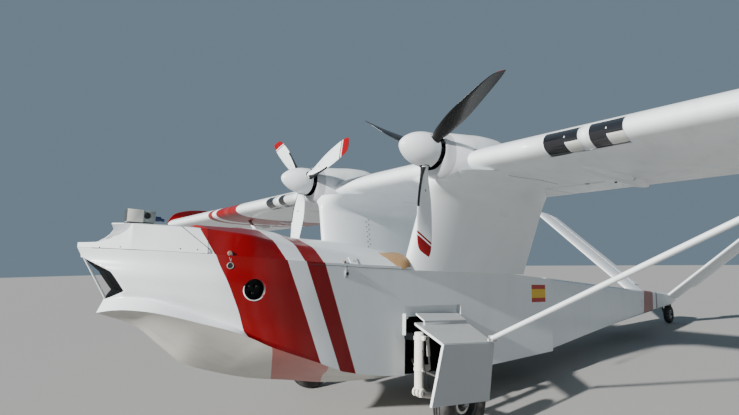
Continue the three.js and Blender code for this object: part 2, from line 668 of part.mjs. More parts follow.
// Main gear: fixed leg with a trailing arm, a stub axle and a side stay, then rim and tyre
const [MAIN_Y, MAIN_Z] = fromGround(0, MAIN_R);
const LEG = { x: 850, y: -215, top: 852, low: 345, waist: 605, upperR: 38, lowerR: 30 };
const HEAD = { half: 36, high: 60, out: 40 };
const KNEE = { half: 52, radius: 44 };
const ARM = { shift: 10, radius: 28 };
const AXLE = { back: 25, radius: 34 };
const STAY = { z: 560, y: 60, radius: 16, lug: 30, plate: 40 };
const HUB_HALF = 58;
const WALL_X = BAY_WALL_X + GAP;
const knee = (dx) => at(LEG.x + dx, LEG.y, LEG.low);
const leg = union(
  bar(at(LEG.x, LEG.y, LEG.top), at(LEG.x, LEG.y, LEG.waist), LEG.upperR),
  bar(at(LEG.x, LEG.y, LEG.waist + 5), knee(0), LEG.lowerR),
  box(WALL_X, LEG.x + HEAD.out, LEG.y - HEAD.half, LEG.y + HEAD.half, LEG.top - HEAD.high, LEG.top),
  bar(knee(-KNEE.half), knee(KNEE.half), KNEE.radius),
  bar(knee(ARM.shift), at(LEG.x + ARM.shift, MAIN_Y, MAIN_Z), ARM.radius),
  bar(at(LEG.x - AXLE.back, MAIN_Y, MAIN_Z), at(MAIN_X - HUB_HALF - GAP, MAIN_Y, MAIN_Z), AXLE.radius),
  bar(at(LEG.x, LEG.y, STAY.z), at(WALL_X + STAY.plate / 2, STAY.y, STAY.z), STAY.radius, 12),
  box(WALL_X, WALL_X + STAY.plate, STAY.y - STAY.lug, STAY.y + STAY.lug,
    STAY.z - STAY.lug, STAY.z + STAY.lug),
);
placePair('main_leg', leg, 'white');

// Rim profile: radius and place along the axle, with its hub, its dished web and its rolled edges
const HUB_R = 42;
const WEB = { half: 14, root: 20, inset: 30 };
const EDGE_INSET = 22;
const rimRows = (r, w, hub) => [
  [0, -hub], [HUB_R, -hub], [HUB_R + 6, -WEB.root], [r - WEB.inset, -WEB.half], [r - EDGE_INSET, -w / 2],
  [r, -w / 2], [r, w / 2], [r - EDGE_INSET, w / 2], [r - WEB.inset, WEB.half], [HUB_R + 6, WEB.root],
  [HUB_R, hub], [0, hub],
];
// Tyre profile from bead to bead over the tread
const BEAD_HALF = 0.36;          // half of the bead's spacing, as a share of the tyre's width
const WALL_SHARE = 0.42;         // of the height that the straight part of the wall takes
const tyreRows = (bead, r, w) => {
  const rows = [[bead, -w * BEAD_HALF]];
  for (let i = 0; i <= 8; i += 1) {
    const a = Math.PI * (1 - i / 8);
    const rise = WALL_SHARE + (1 - WALL_SHARE) * Math.sin(a) ** 0.8;
    rows.push([bead + (r - bead) * rise, (w / 2) * Math.cos(a) * (0.86 + 0.14 * Math.sin(a))]);
  }
  rows.push([bead, w * BEAD_HALF], [bead, -w * BEAD_HALF]);
  return rows;
};
const RIM_R = 150;
const RIM_WIDTH = 0.66;          // of the tyre's width
const WHEEL_SIDES = 30;
const mainAxle = at(MAIN_X, MAIN_Y, MAIN_Z);
const mainWheel = (rows) => turned(rows, 'x', mainAxle, WHEEL_SIDES);
placePair('main_rim', mainWheel(rimRows(RIM_R, MAIN_W * RIM_WIDTH, HUB_HALF)), 'alloy');
placePair('main_tyre', mainWheel(tyreRows(RIM_R + GAP, MAIN_R, MAIN_W)), 'tyre');

// Tail wheel: fixed post, swivelling fork, rim and tyre
const [TAIL_AXLE_Y, TAIL_AXLE_Z] = fromGround(TAIL_Y, TAIL_R);
const TRAIL = 150;               // from the swivel back to the axle
const SWIVEL_Y = TAIL_AXLE_Y - TRAIL;
const POST = { low: 892, length: 60, radius: 46 };
const swivelAxis = at(0, -Math.sin(PITCH), Math.cos(PITCH));
const swivelPoint = (dz) => at(0, SWIVEL_Y, POST.low).addScaledVector(swivelAxis, dz);
const tailPost = bar(swivelPoint(0), swivelPoint(POST.length), POST.radius, 20);
placeOne('rear_hull', union(rearHull, tailPost), 'white');

const FORK = { x: TAIL_W / 2 + 16, thick: 14, z0: 856, z1: 880, armZ: 868, y0: -44, y1: 46, pinR: 18 };
const FORK_END = { long: 30, high: 22 };
const TAIL_HUB = 48;
// Each arm is a tapering plate with a block round the axle and a pin into the hub
const forkSide = (sign) => {
  const inner = sign * FORK.x;
  const arm = plate([
    at(inner, SWIVEL_Y + FORK.y0, FORK.armZ),
    at(inner, SWIVEL_Y + FORK.y1, FORK.armZ),
    at(inner, TAIL_AXLE_Y + FORK_END.long, TAIL_AXLE_Z),
    at(inner, TAIL_AXLE_Y - FORK_END.long, TAIL_AXLE_Z),
  ], at(sign * FORK.thick, 0, 0));
  const [x0, x1] = [inner, inner + sign * FORK.thick].sort((a, b) => a - b);
  const end = box(x0, x1, TAIL_AXLE_Y - FORK_END.long, TAIL_AXLE_Y + FORK_END.long,
    TAIL_AXLE_Z - FORK_END.high, TAIL_AXLE_Z + FORK_END.high);
  const pin = bar(at(sign * (TAIL_HUB + GAP), TAIL_AXLE_Y, TAIL_AXLE_Z),
    at(inner + (sign * FORK.thick) / 2, TAIL_AXLE_Y, TAIL_AXLE_Z), FORK.pinR);
  return union(arm, end, pin);
};
const bridgeX = FORK.x + FORK.thick;
const fork = union(
  forkSide(1),
  forkSide(-1),
  box(-bridgeX, bridgeX, SWIVEL_Y + FORK.y0, SWIVEL_Y + FORK.y1, FORK.z0, FORK.z1),
  bar(swivelPoint(-GAP), swivelPoint(-30), POST.radius, 20),
);
placeOne('tail_fork', fork, 'steel');
const TAIL_RIM_R = 95;
const TAIL_RIM_W = TAIL_W * 0.6;
const tailAxle = at(0, TAIL_AXLE_Y, TAIL_AXLE_Z);
placeOne('tail_rim', turned(rimRows(TAIL_RIM_R, TAIL_RIM_W, TAIL_HUB), 'x', tailAxle), 'alloy');
placeOne('tail_tyre', turned(tyreRows(TAIL_RIM_R + GAP, TAIL_R, TAIL_W), 'x', tailAxle), 'tyre');

// V tail: fixed fin and hinged rear part
const FIN = {
  root: at(300, 7760, 1050),
  tip: at(2610, 7860, 3090),
  rootChord: 1150,
  tipChord: 1000,
  hinge: 0.62,                   // share of the chord
};
const FIN_SECTION = aerofoil(0.09, 0, 8);
const finUp = at(FIN.tip.x - FIN.root.x, 0, FIN.tip.z - FIN.root.z).normalize();
const finNormal = at(-finUp.z, 0, finUp.x);
const finPoint = (t, share, height = 0) => {
  const chord = lerp(FIN.rootChord, FIN.tipChord, t);
  return FIN.root.clone().lerp(FIN.tip, t).add(at(0, share * chord, 0))
    .addScaledVector(finNormal, height * chord);
};
const finHinge = (t) => finPoint(t, FIN.hinge);
const finFull = (...places) => loft(places.map((t) => FIN_SECTION.map(([s, h]) => finPoint(t, s, h))));
// Everything behind a plane that holds the hinge line, moved forward by a distance
const FIN_SPACE = { past: 0.2, aft: 1500, wide: 300 };
function behindHinge(forward) {
  const step = at(0, FIN_SPACE.aft, 0);
  const wide = finNormal.clone().multiplyScalar(FIN_SPACE.wide);
  const face = [-FIN_SPACE.past, 1 + FIN_SPACE.past].map((t) => finHinge(t).sub(at(0, forward, 0)));
  const outline = [face[0], face[1], face[1].clone().add(step), face[0].clone().add(step)];
  return loft([-1, 1].map((sign) => outline.map((p) => p.clone().addScaledVector(wide, sign))));
}
const FIN_NOSE = 22;
const RUDDER_T = [0.115, 0.985];
const FIN_COLLAR = { half: 0.012, radius: FIN_NOSE + RUN - GAP - 0.1, places: [0.25, 0.85] };
const fixedFin = finFull(0, 1).subtract(behindHinge(FIN_NOSE + RUN));
const finBody = seated(fixedFin, rearHull, [UP, OUT, FORE, AFT]);
placePair('fin', largest(finBody), 'white');
const finBar = (t0, t1, r, sides) => bar(finHinge(t0), finHinge(t1), r, sides);
placePair('ruddervator', union(
  finFull(...RUDDER_T).intersect(behindHinge(0)),
  finBar(...RUDDER_T, FIN_NOSE, 12),
  ...FIN_COLLAR.places.map((t) => finBar(t - FIN_COLLAR.half, t + FIN_COLLAR.half, FIN_COLLAR.radius, 24)),
), 'white');

// Cover on the deck, seated on the deck skin and against the foot of the port pylon
const cover = seated(seated(loft(coverRings), hull, [UP, OUT]), pylonBody, [FORE, OUT]);
placeOne('deck_cover', largest(cover), 'tan');

// The frame: centred under the middle of the object, on the ground
const part = new THREE.Group();
part.add(airframe);
part.updateMatrixWorld(true);
const whole = new THREE.Box3().setFromObject(part, true);
const middle = whole.getCenter(new THREE.Vector3());
airframe.position.set(-middle.x, -middle.y, -whole.min.z);
part.updateMatrixWorld(true);

export default part;
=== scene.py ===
# Looks of a twin engine flying boat with a parasol wing, parked on its three wheels. Lengths are
# metres. Pieces are shaped on the level airframe, x to port, y aft, z up from the ground under the
# main wheels, and each is then set down at the angle at which the aircraft is parked.
import json
import math

import bpy
from mathutils import Matrix, Vector

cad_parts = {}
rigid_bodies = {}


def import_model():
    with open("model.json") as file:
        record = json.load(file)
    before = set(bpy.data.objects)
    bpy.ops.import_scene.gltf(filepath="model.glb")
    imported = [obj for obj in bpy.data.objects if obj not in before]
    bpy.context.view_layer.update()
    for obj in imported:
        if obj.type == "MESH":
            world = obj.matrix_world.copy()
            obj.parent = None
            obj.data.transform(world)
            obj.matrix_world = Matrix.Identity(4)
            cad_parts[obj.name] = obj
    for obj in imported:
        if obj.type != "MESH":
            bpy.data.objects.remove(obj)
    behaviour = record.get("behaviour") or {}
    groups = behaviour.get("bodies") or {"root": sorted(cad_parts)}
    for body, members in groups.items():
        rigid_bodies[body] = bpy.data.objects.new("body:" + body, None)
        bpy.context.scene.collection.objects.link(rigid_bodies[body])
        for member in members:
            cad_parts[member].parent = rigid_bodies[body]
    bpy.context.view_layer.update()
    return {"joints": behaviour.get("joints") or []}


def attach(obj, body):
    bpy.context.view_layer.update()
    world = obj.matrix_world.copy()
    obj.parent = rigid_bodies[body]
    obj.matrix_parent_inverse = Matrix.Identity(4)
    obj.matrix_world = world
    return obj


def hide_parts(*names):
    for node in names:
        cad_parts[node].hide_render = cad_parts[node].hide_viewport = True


for leftover in list(bpy.data.objects):
    bpy.data.objects.remove(leftover)
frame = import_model()
joints = {joint["name"]: joint for joint in frame["joints"]}

# Sizes of the airframe
MAIN_R = 0.300
MAIN_RIM_R = 0.150
MAIN_W = 0.180
TAIL_R = 0.200
TAIL_RIM_R = 0.095
TAIL_W = 0.130
CHORD = 1.900
WING_LE_Y = -0.020
WING_LE_Z = 2.404
WING_SLOPE = -0.035
WING_THICK = 0.157
WING_CAMBER = 0.03
CAMBER_PEAK = 0.4
NACELLE_IN_X = 0.714
NACELLE_OUT_X = 1.272
PANEL_TIP_X = 6.790
TIP_X = 7.000
HULL_W = 0.700
JOINT_Y = 2.370
SEAT = 0.0003      # gap left between faces that meet
BLADE_Y = -0.330
PROP_R = 0.954
MOTOR_X = joints["propeller_port_spin"]["pos_m"][0]

# How the airframe is parked, from its wheel axle and its thrust line
axle_place = Vector(joints["main_wheel_port_spin"]["pos_m"])
thrust_line = joints["propeller_port_spin"]["axis"]
PITCH = math.atan2(-thrust_line[2], thrust_line[1])
PARKED = Matrix.Translation((0, axle_place.y, axle_place.z - MAIN_R)) @ Matrix.Rotation(-PITCH, 4, "X")
LEVEL = PARKED.inverted()


def level_place(joint_name):
    return LEVEL @ Vector(joints[joint_name]["pos_m"])


THRUST_Z = level_place("propeller_port_spin").z
MAIN_AXLE = level_place("main_wheel_port_spin")
TAIL_AXLE = level_place("tail_wheel_spin")
SWIVEL = level_place("tail_fork_swivel")
HINGE = level_place("flap_port_hinge")


# Shapes of curves

def lerp(a, b, t):
    return a + (b - a) * t


def curve(*rows):
    """Smooth function through rows of place and value, which never swings past them"""
    xs, ys = zip(*rows)
    steps = [(b - a) / (q - p) for a, b, p, q in zip(ys, ys[1:], xs, xs[1:])]
    slopes = [steps[0]]
    for a, b in zip(steps, steps[1:]):
        slopes.append(2 * a * b / (a + b) if a * b > 0 else 0)
    slopes.append(steps[-1])

    def value(x):
        x = min(max(x, xs[0]), xs[-1])
        i = max(j for j in range(len(xs) - 1) if xs[j] <= x)
        h = xs[i + 1] - xs[i]
        t = (x - xs[i]) / h
        rise = 3 * t ** 2 - 2 * t ** 3
        lean = h * (slopes[i] * (t ** 3 - 2 * t ** 2 + t) + slopes[i + 1] * (t ** 3 - t ** 2))
        return lerp(ys[i], ys[i + 1], rise) + lean

    return value


def table_curves(rows):
    """A curve for each column of a table after its first, which holds the places"""
    places, *others = zip(*rows)
    return [curve(*zip(places, values)) for values in others]


def turns(count):
    """Angles of equal steps once round"""
    return [2 * math.pi * i / count for i in range(count)]


def spread(low, high, count):
    return [lerp(low, high, i / (count - 1)) for i in range(count)]


def through(points, steps):
    """Points along a smooth line through all the points, with steps on each span"""
    points = [Vector(p) for p in points]
    ends = [2 * points[0] - points[1], *points, 2 * points[-1] - points[-2]]
    line = []
    for a, b, c, d in zip(ends, ends[1:], ends[2:], ends[3:]):
        for i in range(steps):
            t = i / steps
            line.append(0.5 * ((2 * b) + (c - a) * t + (2 * a - 5 * b + 4 * c - d) * t ** 2
                               + (3 * b - a - 3 * c + d) * t ** 3))
    return line + [points[-1]]


def rounded(points, radius, steps):
    """The line through the points with each inner corner turned on an arc"""
    points = [Vector(p) for p in points]
    line = [points[0]]
    for before, corner, after in zip(points, points[1:], points[2:]):
        back, on = before - corner, after - corner
        reach = min(radius, 0.45 * back.length, 0.45 * on.length)
        start, end = corner + back.normalized() * reach, corner + on.normalized() * reach
        for i in range(steps + 1):
            t = i / steps
            line.append(start.lerp(corner, t).lerp(corner.lerp(end, t), t))
    return line + [points[-1]]


def filled(points, parts):
    """The line through the points with each span cut into equal parts"""
    points = [Vector(p) for p in points]
    line = [a.lerp(b, i / parts) for a, b in zip(points, points[1:]) for i in range(parts)]
    return line + [points[-1]]


def whole(half):
    """Ring from its points on the port side, the first on the middle plane"""
    return half + [Vector((-p.x, p.y, p.z)) for p in reversed(half[1:])]


# Modelling by hand

SHARP = 32      # degrees between two faces from which their edge counts as sharp


def pick_none():
    active = bpy.context.object
    if active and active.mode != "OBJECT":
        bpy.ops.object.mode_set(mode="OBJECT")
    bpy.ops.object.select_all(action="DESELECT")


def pick(*pieces):
    pick_none()
    for piece in pieces:
        piece.select_set(True)
    bpy.context.view_layer.objects.active = pieces[0]


def named(name):
    piece = bpy.context.object
    piece.name = name
    piece.data.name = name
    return piece


def modify(piece, kind, **settings):
    pick(piece)
    modifier = piece.modifiers.new(kind.lower(), kind)
    for key, value in settings.items():
        setattr(modifier, key, value)
    bpy.ops.object.modifier_apply(modifier=modifier.name)


def smooth(piece, degrees):
    pick(piece)
    bpy.ops.object.shade_smooth_by_angle(angle=math.radians(degrees))
    return piece


def soften(piece, width, segments=2):
    """Round off the sharp edges of a piece and smooth its faces"""
    modify(piece, "BEVEL", width=width, segments=segments, limit_method="ANGLE",
           angle_limit=math.radians(SHARP), use_clamp_overlap=True)
    return smooth(piece, SHARP + 8)


def skin(name, rings, degrees=SHARP):
    """Closed form laid over rings of points, from the first ring to the last"""
    count = len(rings[0])
    pick_none()
    bpy.ops.mesh.primitive_grid_add(x_subdivisions=count, y_subdivisions=len(rings) - 1)
    piece = named(name)
    for index, vertex in enumerate(piece.data.vertices):
        row, column = divmod(index, count + 1)
        vertex.co = rings[row][column % count]
    bpy.ops.object.mode_set(mode="EDIT")
    bpy.ops.mesh.select_all(action="SELECT")
    bpy.ops.mesh.remove_doubles(threshold=1e-5)
    bpy.ops.mesh.fill_holes(sides=0)
    bpy.ops.mesh.normals_make_consistent(inside=False)
    bpy.ops.object.mode_set(mode="OBJECT")
    return smooth(piece, degrees)


def circle_ring(centre, axis, radius, sides):
    """Ring of points round an axis through a centre"""
    axis = Vector(axis).normalized()
    side = axis.orthogonal().normalized()
    if abs(axis.z) < 0.95:
        side = axis.cross(Vector((0, 0, 1))).normalized()
    up = side.cross(axis)
    return [Vector(centre) + side * (radius * math.cos(a)) + up * (radius * math.sin(a))
            for a in turns(sides)]


def turned(name, profile, centre, axis, sides, degrees=SHARP):
    """Form turned on a lathe; the profile's rows are radius and place along the axis"""
    centre, axis = Vector(centre), Vector(axis).normalized()
    rings = [circle_ring(centre + axis * along, axis, radius, sides) for radius, along in profile]
    return skin(name, rings, degrees)


def rod(name, start, end, radius, sides, edge=0.0):
    """Round bar between two points, its ends chamfered by edge"""
    start, end = Vector(start), Vector(end)
    length = (end - start).length
    profile = [(radius, 0), (radius, length)]
    if edge:
        profile = [(radius - edge, 0), (radius, edge), (radius, length - edge), (radius - edge, length)]
    return turned(name, profile, start, end - start, sides)


def block(name, low, high, edge):
    """Box between two corners with its edges rounded"""
    low, high = Vector(low), Vector(high)
    pick_none()
    bpy.ops.mesh.primitive_cube_add(size=1, location=(low + high) / 2)
    piece = named(name)
    piece.scale = high - low
    bpy.ops.object.transform_apply(location=True, rotation=True, scale=True)
    return soften(piece, edge) if edge else piece


def slab(name, face, offset, edge):
    """Flat plate with softened edges, from the corners of one face and the way through it"""
    corners = [Vector(p) for p in face]
    return soften(skin(name, [corners, [p + Vector(offset) for p in corners]]), edge)


def tube(name, points, radius, sides=12, steps=6):
    """Pipe of one thickness along a smooth line"""
    line = through(points, steps)
    rings = []
    for i, point in enumerate(line):
        along = line[min(i + 1, len(line) - 1)] - line[max(i - 1, 0)]
        rings.append(circle_ring(point, along, radius, sides))
    return skin(name, rings)


def combine(piece, other, operation):
    """Cut another form out of a piece or add it, after which the other form is gone"""
    modify(piece, "BOOLEAN", operation=operation, object=other, solver="EXACT", material_mode="TRANSFER")
    bpy.data.objects.remove(other)


def cut(piece, tool, finish):
    """Cut a form out of a piece; the faces it leaves take its finish"""
    combine(piece, dressed(tool, finish), "DIFFERENCE")


def joined(name, pieces):
    pick(*pieces)
    if len(pieces) > 1:
        bpy.ops.object.join()
    return named(name)


def assign(piece, material, test):
    """Give a material to the faces whose middle and normal pass the test"""
    if material.name not in piece.data.materials:
        piece.data.materials.append(material)
    index = list(piece.data.materials).index(material)
    for face in piece.data.polygons:
        if test(face.center, face.normal):
            face.material_index = index
    return piece


def dressed(piece, material):
    piece.data.materials.clear()
    piece.data.materials.append(material)
    return piece


def copied(piece):
    """Copy of a piece with a mesh of its own"""
    twin = piece.copy()
    twin.data = piece.data.copy()
    bpy.context.collection.objects.link(twin)
    return twin


def mirrored(piece):
    """The piece thrown over to the other side of the middle plane"""
    piece.data.transform(Matrix.Scale(-1, 4, (1, 0, 0)))
    piece.data.flip_normals()
    return piece


def put(piece, body, slot, *nodes):
    """Set a finished piece down with its body; it stands for the nodes named"""
    piece.data.transform(PARKED)
    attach(piece, body)
    if nodes:
        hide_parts(*nodes)


def put_pair(piece, stem, body, slot, *nodes):
    """Set down a port piece and its mirror image; names ending in _ take the side"""
    twin = mirrored(copied(piece))
    twin.name = twin.data.name = stem + "_starboard"
    piece.name = stem + "_port"
    for side, made in (("port", piece), ("starboard", twin)):
        on = body + side if body.endswith("_") else body
        put(made, on, slot, *[node + side for node in nodes])


# Finishes

COAT_ROUGHNESS = 0.08
PAINT_ROUGHNESS, PAINT_COAT, PAINT_SHINE = 0.34, 0.08, 0.25


class Signal:
    """A value in a finish; sums and products of signals add their Math nodes"""

    def __init__(self, finish, socket):
        self.finish = finish
        self.socket = socket

    def math(self, operation, first, *others):
        return self.finish.node("ShaderNodeMath", {"operation": operation}, (first, *others))

    def __add__(self, other):
        return self.math("ADD", self, other)

    def __sub__(self, other):
        return self.math("SUBTRACT", self, other)

    def __rsub__(self, other):
        return self.math("SUBTRACT", other, self)

    def __mul__(self, other):
        return self.math("MULTIPLY", self, other)

    def __gt__(self, other):
        return self.math("GREATER_THAN", self, other)

    def __lt__(self, other):
        return self.math("LESS_THAN", self, other)

    __radd__ = __add__
    __rmul__ = __mul__

    def size(self):
        return self.math("ABSOLUTE", self)

    def sine(self):
        return self.math("SINE", self)

    def at_least(self, other):
        return self.math("MAXIMUM", self, other)

    def at_most(self, other):
        return self.math("MINIMUM", self, other)


class Finish:
    """A material under construction, on the level airframe's own x, y and z"""

    def __init__(self, name, colour, roughness, metallic=0.0, coat=0.0):
        self.material = bpy.data.materials.new(name)
        self.material.use_nodes = True
        self.tree = self.material.node_tree
        self.shader = self.tree.nodes["Principled BSDF"]
        self.shader.inputs["Base Color"].default_value = (*colour, 1)
        self.shader.inputs["Roughness"].default_value = roughness
        self.shader.inputs["Metallic"].default_value = metallic
        self.shader.inputs["Coat Weight"].default_value = coat
        self.shader.inputs["Coat Roughness"].default_value = COAT_ROUGHNESS
        coordinates = self.node("ShaderNodeTexCoord", output="Object")
        place = {"Vector": coordinates, "Location": PARKED.translation, "Rotation": PARKED.to_euler()}
        self.place = self.node("ShaderNodeMapping", {"vector_type": "TEXTURE"}, place)
        self.x, self.y, self.z = [
            self.node("ShaderNodeSeparateXYZ", {}, (self.place,), output=axis) for axis in "XYZ"]

    def node(self, kind, settings=None, inputs=(), output=0):
        made = self.tree.nodes.new(kind)
        for key, value in (settings or {}).items():
            if key == "stops":
                self.set_stops(made.color_ramp, value)
            else:
                setattr(made, key, value)
        pairs = inputs.items() if isinstance(inputs, dict) else enumerate(inputs)
        for key, value in pairs:
            if isinstance(value, Signal):
                self.tree.links.new(value.socket, made.inputs[key])
            else:
                made.inputs[key].default_value = value
        return Signal(self, made.outputs[output])

    @staticmethod
    def set_stops(ramp, stops):
        while len(ramp.elements) < len(stops):
            ramp.elements.new(1)
        for element, (place, value) in zip(ramp.elements, stops):
            element.position = place
            element.color = (value, value, value, 1)

    def noise(self, scale, detail, stretch=(1, 1, 1)):
        where = self.node("ShaderNodeMapping", {}, {"Vector": self.place, "Scale": stretch})
        return self.node("ShaderNodeTexNoise", {}, {"Vector": where, "Scale": scale, "Detail": detail})

    def ramp(self, value, *stops):
        return self.node("ShaderNodeValToRGB", {"stops": stops}, (value,))

    def mix(self, share, *colours):
        """Colour between two colours, by a share"""
        first, second = [c if isinstance(c, Signal) else (*c, 1) for c in colours]
        return self.node("ShaderNodeMix", {"data_type": "RGBA"}, {0: share, 6: first, 7: second}, output=2)

    def attribute(self, name):
        """Number kept on the points of a piece"""
        return self.node("ShaderNodeAttribute", {"attribute_name": name}, output="Fac")

    def feed(self, socket, value):
        self.tree.links.new(value.socket, self.shader.inputs[socket])

    def bump(self, height, distance, strength):
        under = {"Height": height, "Distance": distance, "Strength": strength}
        if self.shader.inputs["Normal"].is_linked:
            under["Normal"] = Signal(self, self.shader.inputs["Normal"].links[0].from_socket)
        self.feed("Normal", self.node("ShaderNodeBump", {}, under))


WHITE = (0.78, 0.82, 0.84)
# White of the hull's bottom, darkened and warmed: painted shade, with the ground's warm light in it
SHADED_BOTTOM_WHITE = (0.52, 0.51, 0.46)
# Red of the bottom's stripe, lighter and pink: a painted reflection of the ground
BOTTOM_RED_REFLECTION = (0.36, 0.065, 0.05)
RED = (0.22, 0.0008, 0.003)
BLADE_BLACK = (0.010, 0.011, 0.012)
GREY = (0.34, 0.36, 0.38)
DIRT = (0.30, 0.28, 0.25)


def between(value, low, high):
    return (value > low) * (value < high)


def aircraft_paint(name, colour=WHITE, livery=None, lines=None, grime=0.08):
    """Sprayed paint with faint streaks, orange peel and slow waves in the skin under it"""
    finish = Finish(name, colour, PAINT_ROUGHNESS, coat=PAINT_COAT)
    finish.shader.inputs["Specular IOR Level"].default_value = PAINT_SHINE
    broad = finish.noise(1.3, 4.0)
    streaks = finish.noise(9.0, 3.0, stretch=(1, 0.35, 0.06))
    colours = finish.mix(broad, [c * 0.985 for c in colour], [min(1.0, c * 1.01) for c in colour])
    if livery:
        for mask, paint in livery(finish):
            colours = finish.mix(mask, colours, paint)
    soil = finish.ramp(streaks, (0.48, 0), (0.78, 1)) * grime
    colours = finish.mix(soil, colours, DIRT)
    if lines:
        for mask, paint in lines(finish):
            colours = finish.mix(mask, colours, paint)
    finish.feed("Base Color", colours)
    finish.feed("Roughness", 0.24 + broad * 0.10 + soil * 0.35)
    finish.bump(finish.noise(0.9, 2.0), 0.010, 0.35)
    finish.bump(finish.noise(260.0, 2.0), 0.0004, 0.12)
    return finish.material


# Slanted edges of the hull's stripes: place at the bend, slope below it, slope above it, and the
# rise over the bend from which the edge runs straight across
BEND_Z = 1.481
STRIPE_EDGES = {
    "wide_front": (-2.004, 0.452, 0.549, 0.169),
    "wide_back": (-1.506, 0.422, 0.518, 0.112),
    "narrow_front": (-1.346, 0.4145, 0.36, 0.100),
    "narrow_back": (-1.171, 0.383, 0.42, 0.087),
}


def past(finish, place, below, above, rise):
    """Mask of what lies aft of a slanted stripe edge"""
    under = (BEND_Z - finish.z).at_least(0)
    over = (finish.z - BEND_Z).at_least(0).at_most(rise)
    return (finish.y - below * under + above * over) > place


def hull_stripes(finish):
    front, back, thin_front, thin_back = [past(finish, *row) for row in STRIPE_EDGES.values()]
    return [(front - back, RED), (thin_front - thin_back, RED)]


# The wide stripe on the bottom, where it runs in to the keel: place at the chine, its height, slope
BOTTOM_EDGES = [(-1.533, 0.777, 0.967), (-1.048, 0.610, 1.43)]


def bottom_stripes(finish):
    front, back = [(finish.y - slope * (height - finish.z)) > place
                   for place, height, slope in BOTTOM_EDGES]
    # The stripe's red here is the pink of a painted reflection of the ground
    return [(front - back, BOTTOM_RED_REFLECTION)]


# Slanted edges of the tail's bands: place at the band's height, and slope
BAND_Z = 1.16
TAIL_BANDS = [((6.09, 0.20), (6.62, 0.10), RED), ((6.80, 0.0), (6.88, 0.0), (0.10, 0.09, 0.10))]
FLAG = {"y": (1.897, 2.218), "z": (1.079, 1.289)}


def flag_panel(finish):
    side = between(finish.y, *FLAG["y"]) * between(finish.z, *FLAG["z"]) * (finish.x.size() > 0.69)
    low, high = FLAG["z"]
    quarter = (high - low) / 4
    middle = side * between(finish.z, low + quarter, high - quarter)
    return [(side, (0.42, 0.02, 0.015)), (middle, (0.72, 0.47, 0.02))]


def tail_bands(finish):
    under = BAND_Z - finish.z
    return [((finish.y + front[1] * under > front[0]) * (finish.y + back[1] * under < back[0]), paint)
            for front, back, paint in TAIL_BANDS]


def hull_livery(finish):
    return hull_stripes(finish) + flag_panel(finish)


# Red band and thin red line round the outer wing, in distance from the middle plane
WING_BANDS = [(3.52, 4.345), (4.52, 4.71)]


def wing_livery(finish):
    return [(between(finish.x.size(), low, high), RED) for low, high in WING_BANDS]


def glove_lines(finish):
    """Edges of the nacelle's glove under the wing, which spread apart as they run aft"""
    outer = (1.341 + (finish.y - 0.167) * 0.28).at_most(1.50)
    inner = (0.668 - (finish.y - 0.162) * 0.42).at_least(0.509 - (finish.y - 0.539) * 0.29)
    across = ((finish.x.size() - outer).size() < 0.006) + ((finish.x.size() - inner).size() < 0.006)
    return [(across * between(finish.y, 0.13, 1.08) * (finish.z < 2.42), (0.03, 0.03, 0.03))]


# Places kept on the points of a blade: along it, across it, along it on the slant of its marks,
# behind its leading edge, and in front of its middle
BLADE_PLACES = ["blade_reach", "blade_across", "blade_slanted", "blade_lead", "blade_face"]
# Marks of a blade: red tip with a thin red line inside it, black boot on the leading edge, dot
RED_TIP, TIP_LINE = (0.815, 1.1), (0.780, 0.800)
BOOT, BOOT_WIDTH = (0.165, 0.520), 0.022
DOT_REACH, DOT_R = 0.370, 0.010


def blade_marks(finish):
    """Marks that follow the blade's twist, read from the places kept on its points"""
    reach, across, slanted, lead, face = [finish.attribute(name) for name in BLADE_PLACES]
    out = reach - DOT_REACH
    dot = (out * out + across * across) < DOT_R ** 2
    return [(between(slanted, *RED_TIP) + between(slanted, *TIP_LINE), RED), (dot, (0.06, 0.12, 0.09)),
            (between(reach, *BOOT) * (lead < BOOT_WIDTH), BLADE_BLACK), (face < 0, BLADE_BLACK)]


def cowl_grey(finish):
    return [(finish.y < -0.135, (0.50, 0.52, 0.54))]


def plain(name, colour, roughness, metallic=0.0, coat=0.0, grain=60.0, depth=0.0005, vary=0.12, shine=0.5):
    """Finish with a fine grain and a little change of colour"""
    finish = Finish(name, colour, roughness, metallic, coat)
    finish.shader.inputs["Specular IOR Level"].default_value = shine
    cloud = finish.noise(7.0, 4.0)
    finish.feed("Base Color", finish.mix(
        cloud, [c * (1 - vary) for c in colour], [min(1.0, c * (1 + vary)) for c in colour]))
    finish.feed("Roughness", roughness - 0.06 + cloud * 0.14)
    finish.bump(finish.noise(grain, 3.0), depth, 0.4)
    return finish.material


def rubber(name):
    """Tyre rubber, dusty where the ground reaches it"""
    finish = Finish(name, (0.022, 0.022, 0.023), 0.75)
    dust = finish.ramp(finish.noise(14.0, 5.0), (0.42, 0), (0.72, 1)) * 0.45
    finish.feed("Base Color", finish.mix(dust, (0.020, 0.020, 0.021), (0.16, 0.15, 0.135)))
    finish.feed("Roughness", 0.68 + dust * 0.3)
    finish.bump(finish.noise(180.0, 3.0), 0.0006, 0.4)
    return finish.material


def composite_sheet(name):
    """Bare tan laminate with its weave showing through"""
    finish = Finish(name, (0.30, 0.18, 0.08), 0.42, coat=0.15)
    cloud = finish.noise(9.0, 4.0)
    weave = (finish.x * 900).sine() * (finish.y * 900).sine()
    tone = finish.mix(cloud, (0.24, 0.145, 0.065), (0.36, 0.23, 0.12))
    finish.feed("Base Color", finish.mix(weave * 0.5 + 0.5, tone, (0.20, 0.12, 0.05)))
    finish.bump(weave, 0.0004, 0.5)
    return finish.material


